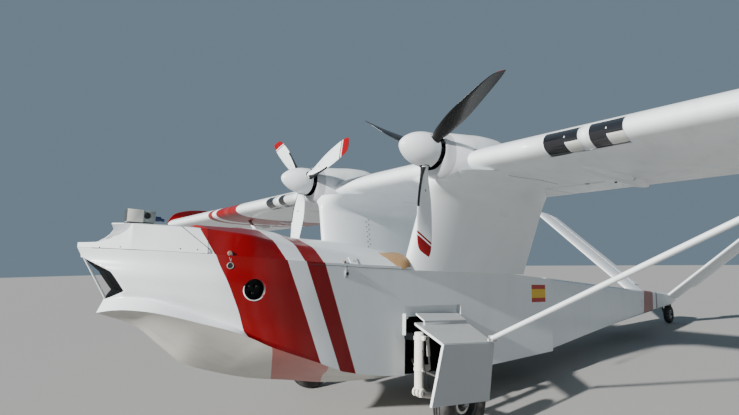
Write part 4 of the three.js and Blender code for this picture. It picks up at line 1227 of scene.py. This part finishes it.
def propeller(side):
    """Blades on their hub, and the spinner with a hole for each blade's root"""
    sign, first, pitch = PROPS[side]
    hub = dressed(turned("hub", HUB, (0, 0, 0), (0, 1, 0), 64), cast_alloy)
    turning = joined("propeller_" + side, [*three(blade(pitch), first), hub])
    outer = through([(r, y, 0) for r, y in SPINNER[:7]], 5)
    profile = [(max(0.0, p.x), p.y) for p in outer] + SPINNER[7:]
    shell = dressed(turned("spinner_" + side, profile, (0, 0, 0), (0, 1, 0), 72), white_paint)
    for hole in three(rod("hole", (0.02, 0, 0), (0.26, 0, 0), 0.052, 48), first):
        cut(shell, hole, black_moulding)
    smooth(shell, 30)
    for piece in (turning, shell):
        piece.data.transform(Matrix.Translation((sign * MOTOR_X, 0, THRUST_Z)))
    return turning, shell


# Pylons between the deck and the nacelles: front and back corner of the foot and of the head
PYLON_FOOT = (Vector((0.640, -0.225, 1.400)), Vector((0.672, 1.760, 1.400)))
PYLON_HEAD = (Vector((0.925, -0.152, 2.420)), Vector((0.940, 1.900, 2.420)))
PYLON_THICK = 0.13


def pylon_point(share_up, s, side):
    front = PYLON_FOOT[0].lerp(PYLON_HEAD[0], share_up)
    back = PYLON_FOOT[1].lerp(PYLON_HEAD[1], share_up)
    flare = 1 + 2.8 * max(0.0, (share_up - 0.66) / 0.213) ** 3
    bulge = side * half_thickness(s, PYLON_THICK) * (back.y - front.y) * flare
    return Vector((lerp(front.x, back.x, s) + bulge, lerp(front.y, back.y, s), front.z))


def pylon():
    rings = [section(lambda s, side: pylon_point(up, s, side), section_steps(22))
             for up in spread(0.012, 0.66, 7) + spread(0.68, 0.885, 14)]
    return dressed(skin("pylon_skin", rings, 30), white_paint)


# Outriggers, struts and landing gear

RIG = {
    "in0": (HULL_W + SEAT, -0.140, 0.938), "in1": (HULL_W + SEAT, 0.600, 0.924),
    "out0": (1.250, -0.365, 0.822), "out1": (1.250, 0.320, 0.782),
    "low0": (1.250, -0.507, 0.358), "low1": (1.250, 0.237, 0.300),
}
LEDGE = [(HULL_W + SEAT, -0.118, 1.020), (HULL_W + SEAT, 0.493, 1.000), (0.800, 0.511, 0.940),
         (0.800, -0.107, 0.960)]
STRUT_LOW, STRUT_HIGH = Vector((1.236, 0.262, 0.812)), Vector((4.186, 0.507, 2.353))
STRUT_CHORD, STRUT_THICK = 0.075, 0.050


def outrigger():
    corners = {key: Vector(value) for key, value in RIG.items()}
    share = 1 - 0.0242 / (RIG["out0"][0] - RIG["in0"][0])
    butt = [corners["in1"].lerp(corners["out1"], share), corners["in0"].lerp(corners["out0"], share)]
    top = slab("rig_top", [corners["in0"], corners["in1"], *butt], (0, 0, -0.024), 0.002)
    side = slab("rig_side", [corners[k] for k in ("out0", "out1", "low1", "low0")], (-0.024, 0, 0), 0.002)
    ledge = slab("rig_ledge", LEDGE, (0, 0, -0.016), 0.002)
    web = block("rig_web", (0.776, -0.10, 0.89), (0.799, 0.50, 0.942), 0.003)
    # The plates' tops and outer side take greys of painted shade, darker on the side; only their front edges
    # keep the white
    for plate in (top, ledge, web):
        dressed(plate, plate_top)
    dressed(side, plate_paint)
    for plate in (top, ledge, side):
        assign(plate, white_paint, lambda c, n: n.y < -0.5)
    return joined("outrigger_plates", [top, side, ledge, web])


def wing_strut():
    rings = []
    for t in (0.0, 0.004, 0.05, 0.5, 0.95, 0.985):
        p = STRUT_LOW.lerp(STRUT_HIGH, t)
        width = 0.72 if t < 0.003 else 1.0
        rings.append([p + Vector((0, STRUT_CHORD / 2 * math.cos(a), STRUT_THICK / 2 * math.sin(a))) * width
                      for a in spread(0, 2 * math.pi, 33)[:-1]])
    body = dressed(skin("strut", rings, 34), white_paint)
    low = STRUT_LOW.lerp(STRUT_HIGH, 0.012)
    lug = block("lug", low - Vector((0.028, 0.034, 0.030)), low + Vector((0.022, 0.034, 0.026)), 0.006)
    pin = rod("pin", low - Vector((0.006, 0.046, 0.004)), low + Vector((-0.006, 0.046, -0.004)), 0.012,
              24, 0.002)
    return joined("strut_body", [body, dressed(lug, cast_alloy), dressed(pin, steel)])


LEG_X, LEG_Y, LEG_TOP, LEG_LOW = 0.850, -0.228, 0.852, 0.345
HUB_HALF = 0.058
WHEEL_X = MAIN_AXLE.x


def by_leg(x, y, z):
    """Point by its distance to port and aft of the leg's axis, and by its height"""
    return Vector((LEG_X + x, LEG_Y + y, z))


def main_leg():
    wall = HULL_W - 0.240 + SEAT
    axle = Vector((LEG_X, MAIN_AXLE.y, MAIN_AXLE.z))
    collar = LEG_LOW + 0.205
    tube_rows = [(0.034, 0), (0.040, 0.008), (0.040, 0.150), (0.042, 0.154), (0.046, 0.158), (0.046, 0.180),
                 (0.042, 0.184), (0.042, 0.478), (0.036, 0.484)]
    cap_rows = [(0.030, 0), (0.049, 0.004), (0.049, 0.036), (0.030, 0.042)]
    painted = [
        turned("leg_tube", tube_rows, by_leg(0, 0, LEG_LOW + 0.040), (0, 0, 1), 48),
        turned("leg_cap", cap_rows, by_leg(0, 0, 0.800), (0, 0, 1), 40),
        block("cap_lug", by_leg(0.030, -0.020, 0.800), by_leg(0.074, 0.030, 0.842), 0.010),
        rod("leg_arm", by_leg(0.010, 0, LEG_LOW), axle + Vector((0.010, 0, 0)), 0.028, 32, 0.003),
        rod("leg_boss", axle - Vector((0.025, 0, 0)), axle + Vector((0.060, 0, 0)), 0.040, 36, 0.004),
        rod("leg_actuator", by_leg(-0.045, 0.155, 0.815), by_leg(-0.045, 0.175, 0.640), 0.015, 24, 0.002),
        rod("leg_stay", by_leg(-0.020, 0, 0.560), (wall + 0.02, 0.060, 0.560), 0.014, 24, 0.002),
        block("stay_lug", by_leg(-0.012, 0.062, 0.524), by_leg(0.008, 0.130, 0.580), 0.006),
        rod("link", by_leg(0.044, -0.010, collar), by_leg(0.050, 0.210, collar - 0.085), 0.009, 18, 0.002),
    ]
    for along, half in ((-0.038, 0.011), (0.002, 0.013), (0.042, 0.011)):
        ends = [by_leg(along + step, 0, LEG_LOW + 0.014) for step in (-half, half)]
        painted.append(rod("knee_lug", *ends, 0.038, 40, 0.005))
    metal = [
        rod("leg_rod", by_leg(-0.045, 0.175, 0.645), by_leg(-0.045, 0.192, 0.520), 0.008, 20, 0.002),
        rod("axle", axle, (WHEEL_X - HUB_HALF - SEAT, MAIN_AXLE.y, MAIN_AXLE.z), 0.034, 36, 0.003),
        rod("leg_pin", by_leg(-0.062, 0, LEG_LOW + 0.010), by_leg(0.064, 0, LEG_LOW + 0.010), 0.016,
            28, 0.002),
        rod("cap_pin", by_leg(0.070, 0.006, 0.820), by_leg(0.082, 0.006, 0.820), 0.013, 20, 0.002),
    ]
    # Parts up in the bay are near black, painted shade
    hidden = [block("leg_head", (wall, LEG_Y - 0.036, LEG_TOP - 0.060), by_leg(0, 0.036, LEG_TOP), 0.010),
              block("leg_plate", (wall, 0.030, 0.530), (wall + 0.040, 0.090, 0.590), 0.005)]
    hose = tube("brake_hose", [by_leg(0.045, -0.005, 0.72), by_leg(0.050, 0.010, 0.60),
                               by_leg(0.049, 0.030, 0.50), by_leg(0.046, 0.075, 0.40),
                               (LEG_X + 0.052, MAIN_AXLE.y - 0.03, MAIN_AXLE.z + 0.045)], 0.005)
    finishes = ((leg_paint, painted), (steel, metal), (dark_bay, hidden), (black_moulding, [hose]))
    return joined("leg_assembly", [dressed(piece, finish) for finish, pieces in finishes for piece in pieces])


def wheel_rim(name, centre, radius, width, hub, holes, hub_r, finish, ring=None):
    """Rim turned about x with a dished web, holes through it or a pale ring on it, and a bolted hub"""
    half = width / 2
    low, high = ring or (0, 0)
    raised = [(low, -0.019), (low + 0.002, -0.028), (high - 0.002, -0.027), (high, -0.017)] if ring else []
    face = [(0, -hub), (hub_r - 0.003, -hub), (hub_r, -hub + 0.003), (hub_r + 0.006, -0.020), *raised,
            (radius - 0.030, -0.014), (radius - 0.022, -half), (radius - 0.016, -half - 0.002),
            (radius - 0.0005, -half - 0.002)]
    profile = face + [(reach, -along) for reach, along in reversed(face)]
    rim = dressed(turned(name, profile, (0, 0, 0), (1, 0, 0), 72), finish)
    place = (hub_r + radius - 0.024) / 2
    hole_r = (radius - 0.024 - hub_r) * 0.26
    for a in turns(holes):
        at = Vector((0, place * math.cos(a), place * math.sin(a)))
        cut(rim, rod("hole", at - Vector((0.05, 0, 0)), at + Vector((0.05, 0, 0)), hole_r, 24), finish)
    smooth(rim, 30)
    if ring:
        assign(rim, leg_paint, lambda c, n: low + 0.001 < math.hypot(c.y, c.z) < high - 0.001)
    bolts = []
    for i in range(6):
        a = 2 * math.pi * (i + 0.5) / 6
        for side in (-1, 1):
            at = Vector((side * hub, hub_r * 0.66 * math.cos(a), hub_r * 0.66 * math.sin(a)))
            head = Vector((side * 0.004, 0, 0))
            bolts.append(dressed(rod("bolt", at - head, at + head, hub_r * 0.12, 6), steel))
    cap = dressed(rod("cap", (hub - 0.004, 0, 0), (hub + 0.010, 0, 0), hub_r * 0.42, 28, 0.003), grey_satin)
    wheel = joined(name, [rim, *bolts, cap])
    wheel.data.transform(Matrix.Translation(centre))
    return wheel


def wheel_tyre(name, centre, bead, radius, width, grooves):
    """Tyre turned about x, its tread cut by round grooves"""
    walls = []
    for i in range(33):
        a = math.pi * (1 - i / 32)
        reach = bead + (radius - bead) * (0.42 + 0.58 * math.sin(a) ** 0.8)
        walls.append((reach, width / 2 * math.cos(a) * (0.86 + 0.14 * math.sin(a))))
    crown = curve(*[(along, reach) for reach, along in walls if abs(along) < 0.36 * width])
    tread_half = 0.30 * width
    edges = [place + step for place in grooves for step in (-0.0065, -0.0045, 0.0045, 0.0065)]
    tread = [(crown(along) - (0.008 if any(abs(along - g) < 0.005 for g in grooves) else 0), along)
             for along in sorted({*spread(-tread_half, tread_half, 19), *edges})]
    rows = [(bead + SEAT, -width * 0.36), *[row for row in walls if row[1] < -tread_half], *tread,
            *[row for row in walls if row[1] > tread_half], (bead + SEAT, width * 0.36),
            (bead + SEAT, -width * 0.36)]
    return dressed(turned(name, rows, centre, (1, 0, 0), 96, 30), tyre_rubber)


def tail_fork():
    axle = TAIL_AXLE
    swing = Vector((0, -math.sin(PITCH), math.cos(PITCH)))
    head = Vector((0, SWIVEL.y, POST_FOOT)) - swing * SEAT
    arm_x, arm = 0.081, 0.014      # inner face and thickness of an arm
    outside = arm_x + arm
    parts = [rod("fork_stem", head - swing * 0.030, head, POST_R, 40, 0.003),
             block("fork_bridge", (-outside, SWIVEL.y - 0.044, 0.856), (outside, SWIVEL.y + 0.046, 0.880),
                   0.005)]
    for sign in (-1, 1):
        corners = [(SWIVEL.y - 0.040, 0.868), (SWIVEL.y + 0.045, 0.868),
                   (axle.y + 0.026, axle.z - 0.010), (axle.y - 0.030, axle.z - 0.010)]
        parts.append(slab("fork_arm", [(sign * arm_x, y, z) for y, z in corners], (sign * arm, 0, 0), 0.003))
        for name, places, radius, sides in (("fork_end", (arm_x, outside), 0.030, 32),
                                            ("fork_axle", (0.0483, 0.0945), 0.018, 28)):
            ends = [(sign * x, axle.y, axle.z) for x in places]
            parts.append(rod(name, *ends, radius, sides, 0.002))
    return dressed(joined("fork_body", parts), black_moulding)


# V tail

FIN_ROOT, FIN_TIP = Vector((0.300, 7.760, 1.050)), Vector((2.610, 7.860, 3.090))
FIN_CHORDS = (1.150, 1.000)
FIN_HINGE, FIN_THICK, FIN_NOSE = 0.62, 0.09, 0.022
FIN_OUT = Vector((FIN_ROOT.z - FIN_TIP.z, 0, FIN_TIP.x - FIN_ROOT.x)).normalized()
RUDDER_SPAN = (0.115, 0.985)


def fin_line(t, s):
    """Point on the fin's middle plane, by share of its span and of its chord"""
    return FIN_ROOT.lerp(FIN_TIP, t) + Vector((0, s * lerp(*FIN_CHORDS, t), 0))


def fin_point(t, s, side):
    return fin_line(t, s) + FIN_OUT * (side * half_thickness(s, FIN_THICK) * lerp(*FIN_CHORDS, t))


def fin():
    rings = []
    for t in [0.005, *spread(0.05, 0.95, 8), 0.985, 1.0]:
        spar = FIN_HINGE - (FIN_NOSE + 0.006) / lerp(*FIN_CHORDS, t)
        rings.append(section(lambda s, side: fin_point(t, s, side), section_steps(18, spar)))
    return dressed(skin("fin_skin", rings, 30), white_paint)


def ruddervator():
    rings = []
    for t in spread(*RUDDER_SPAN, 9):
        centre = fin_line(t, FIN_HINGE)
        nose = [centre + FIN_OUT * (FIN_NOSE * math.cos(a)) - Vector((0, FIN_NOSE * math.sin(a), 0))
                for a in spread(0, math.pi, 11)]
        rings.append(section(lambda s, side: fin_point(t, s, side), spread(FIN_HINGE, 1.0, 12), nose))
    pieces = [dressed(skin("ruddervator_skin", rings, 30), white_paint)]
    for t in (0.25, 0.85):
        ends = [fin_line(t + step, FIN_HINGE) for step in (-0.012, 0.012)]
        pieces.append(dressed(rod("collar", *ends, FIN_NOSE + COLLAR_LIFT, 32, 0.002), steel))
    return joined("ruddervator_skin", pieces)


# Small pieces of the hull and the pylons

STEM_TOP, STEM_FOOT, STEM_HALF = Vector((0, -2.711, 1.446)), Vector((0, -2.527, 1.110)), 0.008


def stem_bar():
    slant = [[p + Vector((i, j, 0)) * STEM_HALF for i, j in ((-1, -1), (1, -1), (1, 1), (-1, 1))]
             for p in (STEM_FOOT.lerp(STEM_TOP, 0.03), STEM_FOOT.lerp(STEM_TOP, 0.98))]
    return dressed(soften(skin("stem", slant), 0.003, 3), white_paint)


def roof_sensor():
    """Box on the roof: cream housing with a dark front, grey half with a lens, dark base, blue plugs"""
    return joined("sensor_box", [
        assign(dressed(block("housing", (-0.020, -2.472, 1.708), (0.065, -2.3615, 1.800), 0.003), box_cream),
               box_front, lambda c, n: n.y < -0.9),
        dressed(block("camera", (-0.018, -2.3610, 1.710), (0.060, -2.275, 1.797), 0.004), camera_grey),
        dressed(block("base", (-0.012, -2.460, 1.692), (0.056, -2.285, 1.7085), 0.004), black_moulding),
        dressed(turned("barrel", [(0, 0), (0.023, 0), (0.024, 0.002), (0.024, 0.044), (0.0225, 0.046),
                                  (0.0205, 0.045), (0.0200, 0.042), (0, 0.041)],
                       (0.020, -2.335, 1.760), (1, 0, 0), 40), black_moulding),
        dressed(block("connector", (-0.010, -2.276, 1.728), (0.050, -2.232, 1.762), 0.004), fitting_blue),
        *[dressed(rod("plug", (x, -2.236, foot), (x, end, tip), 0.011, 24, 0.002), fitting_blue)
          for x, foot, end, tip in ((0.006, 1.746, -2.200, 1.740), (0.036, 1.744, -2.206, 1.736))],
        *[dressed(rod("screw", (x, -2.4735, z), (x, -2.471, z), 0.004, 12), steel)
          for x in (-0.010, 0.055) for z in (1.736, 1.787)],
    ])


def port_place(out, along=0.0, up=0.0):
    return PORT + PORT_OUT * out + PORT_ALONG * along + Vector((0, 0, up))


def service_sockets():
    """Back plate of the service port with three sockets and their pins"""
    back = -PORT_DEPTH
    parts = [rod("socket_plate", port_place(back + SEAT), port_place(back + 0.012), PORT_R - SEAT, 48, 0.002)]
    pins = []
    for along, up in SOCKETS:
        parts.append(turned("socket", [(0, 0.010), (0.0150, 0.010), (0.0150, 0.052), (0.0135, 0.056),
                                       (0.0105, 0.056), (0.0100, 0.030), (0, 0.030)],
                            port_place(back, along, up), PORT_OUT, 32))
        for a in turns(3):
            across, rise = along + 0.005 * math.cos(a), up + 0.005 * math.sin(a)
            ends = [port_place(back + reach, across, rise) for reach in (0.029, 0.048)]
            pins.append(rod("pin", *ends, 0.0014, 8))
    sockets = dressed(joined("sockets", parts), black_moulding)
    return joined("socket_block", [sockets, dressed(joined("pins", pins), bright_steel)])


def port_ring():
    """White trim ring round the service port"""
    rows = [(0.0755, -0.020), (0.0755, 0.003), (0.0775, 0.005), (0.0810, 0.0045), (0.0830, 0.001),
            (0.0830, -0.020), (0.0755, -0.020)]
    return dressed(turned("port_ring", rows, PORT, PORT_OUT, 72, 30), white_paint)


def seal_line():
    """Rubber seal between the lower hull and the deck and hatch, on the port side"""
    fore = [(HATCH_SEAM_W(y), y, SEAM(y) + 0.0005) for y in spread(-2.680, -2.06, 24)]
    width, height = table_curves(DECK_ROWS)[:2]
    aft = [(max(width(y), 0.6985 if y > -1.2 else 0), y, height(y)) for y in spread(-2.04, 0.44, 40)]
    return dressed(tube("deck_seal", fore + aft, 0.0022, 8, 2), seal_rubber)


# Latches across the deck seam: boss above it, disc below it, the way out of the side, and both radii
LATCHES = [((0.585, -1.907, 1.490), (0.587, -1.900, 1.402), (0.95, -0.31, 0), 0.017, 0.024),
           ((0.672, -0.948, 1.463), (0.699, -0.942, 1.365), (1, 0, 0), 0.012, 0.020)]
# Plate with a bolt on the slope of the deck: places aft, then inner and outer line of the slope
PLATE_Y, PLATE_LINES = (-0.885, -0.805), ((0.640, 1.502), (0.686, 1.443))


def seam_latches():
    """Latches on the deck seam, each a disc on a plate joined to a boss by two wires, and the bolted plate"""
    pieces = []
    for upper, lower, out, boss, disc in LATCHES:
        upper, lower, out = Vector(upper), Vector(lower), Vector(out).normalized()
        along = Vector((-out.y, out.x, 0))
        plate = [lower + along * i + Vector((0, 0, j)) - out * 0.004
                 for i, j in ((-0.018, -0.034), (0.018, -0.034), (0.018, 0.034), (-0.018, 0.034))]
        disc_rows = [(disc - 0.002, 0), (disc, 0.004), (disc, 0.014), (disc - 0.003, 0.016),
                     (disc - 0.006, 0.012), (0, 0.012)]
        pieces += [
            dressed(slab("latch_plate", plate, out * 0.010, 0.002), cast_alloy),
            dressed(rod("latch_boss", upper - out * 0.006, upper + out * 0.016, boss, 24, 0.004), latch_tan),
            dressed(turned("latch_disc", disc_rows, lower, out, 32), camera_grey),
            dressed(rod("latch_knob", lower + out * 0.010, lower + out * 0.0145, disc - 0.007, 24, 0.001),
                    black_moulding)]
        foot = lower + Vector((0, 0, 0.030)) + out * 0.012
        for side in (-0.014, 0.014):
            head = upper + along * side + out * 0.010
            wire = tube("latch_wire", [head, head.lerp(foot, 0.5) + out * 0.003, foot], 0.0038, 8, 3)
            pieces.append(dressed(wire, bright_steel))
    (in_x, in_z), (out_x, out_z) = PLATE_LINES
    fore, aft = PLATE_Y
    face = [(in_x, fore, in_z), (in_x, aft, in_z), (out_x, aft, out_z), (out_x, fore, out_z)]
    out = Vector((in_z - out_z, 0, out_x - in_x)).normalized()
    pieces.append(dressed(slab("bolted_plate", face, out * 0.005, 0.0015), white_paint))
    middle = Vector(((in_x + out_x) / 2, sum(PLATE_Y) / 2, (in_z + out_z) / 2)) + out * 0.004
    pieces.append(dressed(rod("plate_bolt", middle, middle + out * 0.006, 0.008, 6), steel))
    return joined("seam_latches", pieces)


def bay_strip():
    """Bent strip at the front edge of the wheel bay, with its stop"""
    profile = [(HULL_W - 0.002, -0.292), (HULL_W + 0.020, -0.264), (HULL_W - 0.002, -0.260)]
    strip = skin("bay_strip", [[Vector((x, y, z)) for x, y in profile] for z in (0.830, 1.020)])
    stop = rod("bay_stop", (HULL_W - 0.03, -0.236, 0.985), (HULL_W + 0.012, -0.236, 0.985), 0.013, 20, 0.003)
    return joined("bay_strip", [dressed(soften(strip, 0.002), white_paint), dressed(stop, leg_paint)])


def pylon_rivets():
    """Zigzag column of rivet heads up the inner side of the port pylon"""
    heads = []
    for i, up in enumerate(spread(0.06, 0.64, 20)):
        at = pylon_point(up, 0.30 + 0.018 * (i % 2), -1)
        heads.append(rod("rivet", at + Vector((0.004, 0, 0)), at - Vector((0.0026, 0, 0)), 0.008, 12, 0.001))
    return dressed(joined("pylon_rivets", heads), seal_rubber)


# Curved sheet on the deck ahead of the port pylon: points of its low edge, with those of its high edge
COVER = [
    ((0.450, -0.390, 1.562), (0.440, -0.381, 1.568)),
    ((0.555, -0.418, 1.540), (0.510, -0.340, 1.573)),
    ((0.610, -0.402, 1.508), (0.580, -0.275, 1.577)),
    ((0.645, -0.380, 1.484), (0.635, -0.246, 1.560)),
    ((0.672, -0.350, 1.455), (0.685, -0.231, 1.525)),
    ((0.690, -0.331, 1.431), (0.706, -0.219, 1.487)),
    ((0.702, -0.305, 1.414), (0.714, -0.205, 1.446)),
]
COVER_BACK = Vector((-0.008, 0.005, -0.008))


def deck_cover():
    low_line, high_line = [through([row[i] for row in COVER], 6) for i in (0, 1)]
    rings = []
    for low, high in zip(low_line, high_line):
        across = [low.lerp(high, i / 8) - COVER_BACK * (0.9 * math.sin(math.pi * i / 8)) for i in range(9)]
        rings.append(across + [p + COVER_BACK * 0.55 for p in reversed(across)])
    return dressed(skin("cover_sheet", rings, 40), tan_laminate)


# Set the pieces down on the frame

put(lower_hull(), "airframe", "white_paint", "hull")
put(deck_shell(), "airframe", "white_paint", "hull")
put_pair(seal_line(), "deck_seal", "airframe", "black_plastic")
put(nose_hatch(), "airframe", "white_paint", "nose_hatch")
put_pair(hatch_fastenings(), "hatch_fastenings", "airframe", "black_plastic")
put_pair(seam_latches(), "seam_latches", "airframe", "alloy")
put_pair(bay_strip(), "bay_strip", "airframe", "white_paint")
put(stem_bar(), "airframe", "white_paint", "stem_bar")
put(roof_sensor(), "airframe", "grey_paint", "roof_sensor")
put(service_sockets(), "airframe", "black_plastic", "service_port_sockets")
put(port_ring(), "airframe", "white_paint")
put(deck_cover(), "airframe", "tan_composite", "deck_cover")
put(rear_hull(), "airframe", "white_paint", "rear_hull")

centre_places = (-NACELLE_IN_X + SEAT, 0, NACELLE_IN_X - SEAT)
put(dressed(skin("wing_middle", [wing_ring(x) for x in centre_places], 26), wing_paint), "airframe",
    "white_paint", "wing_centre")
for side, (sign, _, _) in PROPS.items():
    panel, lights = wing_panel(sign), landing_lights(sign)
    for piece, stem in ((panel, "wing_panel_"), (lights, "landing_lights_")):
        piece.name = stem + side
        if sign < 0:
            mirrored(piece)
    put(panel, "airframe", "white_paint", "wing_" + side)
    put(lights, "airframe", "black_plastic")
put_pair(fixed_fairing(), "hinge_fairing_fixed", "airframe", "white_paint")
put_pair(moving_fairing(), "hinge_fairing_moving", "flap_", "white_paint")
put_pair(hinge_brackets(), "hinge_fairings", "airframe", "white_paint")
for stem, span in (("flap", FLAP_X), ("aileron", AILERON_X)):
    put_pair(trailing_part(stem, *span), stem + "_surface", stem + "_", "white_paint", stem + "_")
put_pair(wing_tip(), "wing_end_plate", "airframe", "red_paint", "wing_tip_")

put_pair(nacelle_body(), "nacelle_cowl", "airframe", "white_paint", "nacelle_")
put_pair(engine(), "engine_block", "airframe", "alloy", "engine_")
for side in PROPS:
    blades, shell = propeller(side)
    blades.name, shell.name = "blades_" + side, "spinner_shell_" + side
    put(blades, "propeller_" + side, "white_paint", "propeller_" + side)
    put(shell, "propeller_" + side, "white_paint", "spinner_" + side)
put_pair(pylon(), "pylon_skin", "airframe", "white_paint", "pylon_")
put_pair(pylon_rivets(), "pylon_rivets", "airframe", "alloy")
put_pair(outrigger(), "outrigger_plates", "airframe", "white_paint", "outrigger_")
put_pair(wing_strut(), "strut_body", "airframe", "white_paint", "wing_strut_")

put_pair(main_leg(), "leg_assembly", "airframe", "white_paint", "main_leg_")
main_rim = wheel_rim("rim", MAIN_AXLE, MAIN_RIM_R, MAIN_W * 0.66, HUB_HALF, 0, 0.042, rim_dark,
                     (0.065, 0.090))
put_pair(main_rim, "wheel_main", "main_wheel_", "alloy", "main_rim_")
main_tyre = wheel_tyre("tyre", MAIN_AXLE, MAIN_RIM_R, MAIN_R, MAIN_W, (-0.030, 0, 0.030))
put_pair(main_tyre, "tyre_main", "main_wheel_", "tyre_rubber", "main_tyre_")
put(tail_fork(), "tail_fork", "steel", "tail_fork")
tail_rim = wheel_rim("wheel_tail", TAIL_AXLE, TAIL_RIM_R, 0.078, 0.048, 6, 0.030, cast_alloy)
put(tail_rim, "tail_wheel", "alloy", "tail_rim")
tail_tyre = wheel_tyre("tyre_tail", TAIL_AXLE, TAIL_RIM_R, TAIL_R, TAIL_W, (-0.018, 0.018))
put(tail_tyre, "tail_wheel", "tyre_rubber", "tail_tyre")
put_pair(fin(), "fin_skin", "airframe", "white_paint", "fin_")
put_pair(ruddervator(), "ruddervator_skin", "ruddervator_", "white_paint", "ruddervator_")

# Floor, light and camera

APRON, SKY, SKY_STRENGTH = (0.35, 0.345, 0.33), (0.58, 0.80, 1.00), 0.27
TO_SUN, SUN_ENERGY = Vector((0.03, -0.93, 0.36)), 9.6
SUN_WIDTH, SUN_COLOUR = math.radians(1.6), (1.0, 0.975, 0.95)
# Camera: place, its own right, up and back as rows, focal length and sensor width in mm, and shift
CAMERA_PLACE = Vector((3.7604, -6.4581, 1.5119))
CAMERA_AXES = ((0.6514, 0.7586, -0.0167), (0.0849, -0.0510, 0.9951), (0.7540, -0.6496, -0.0977))
CAMERA_LENS, CAMERA_SENSOR, CAMERA_SHIFT = 22.745, 36, 0.0103

pick_none()
bpy.ops.mesh.primitive_plane_add(size=160)
floor = named("floor")
apron = Finish("apron", APRON, 0.9)
floor.data.materials.append(apron.material)

world = bpy.data.worlds.new("sky")
bpy.context.scene.world = world
world.use_nodes = True
background = world.node_tree.nodes["Background"]
background.inputs["Color"].default_value = (*SKY, 1)
background.inputs["Strength"].default_value = SKY_STRENGTH

bpy.ops.object.light_add(type="SUN", rotation=TO_SUN.to_track_quat("Z", "Y").to_euler())
sun = bpy.context.object
sun.data.energy = SUN_ENERGY
sun.data.angle = SUN_WIDTH
sun.data.color = SUN_COLOUR

bpy.ops.object.camera_add()
camera = bpy.context.object
camera.matrix_world = Matrix.Translation(CAMERA_PLACE) @ Matrix(CAMERA_AXES).transposed().to_4x4()
camera.data.lens = CAMERA_LENS
camera.data.sensor_width = CAMERA_SENSOR
camera.data.shift_y = CAMERA_SHIFT
bpy.context.scene.camera = camera

bpy.context.view_layer.update()
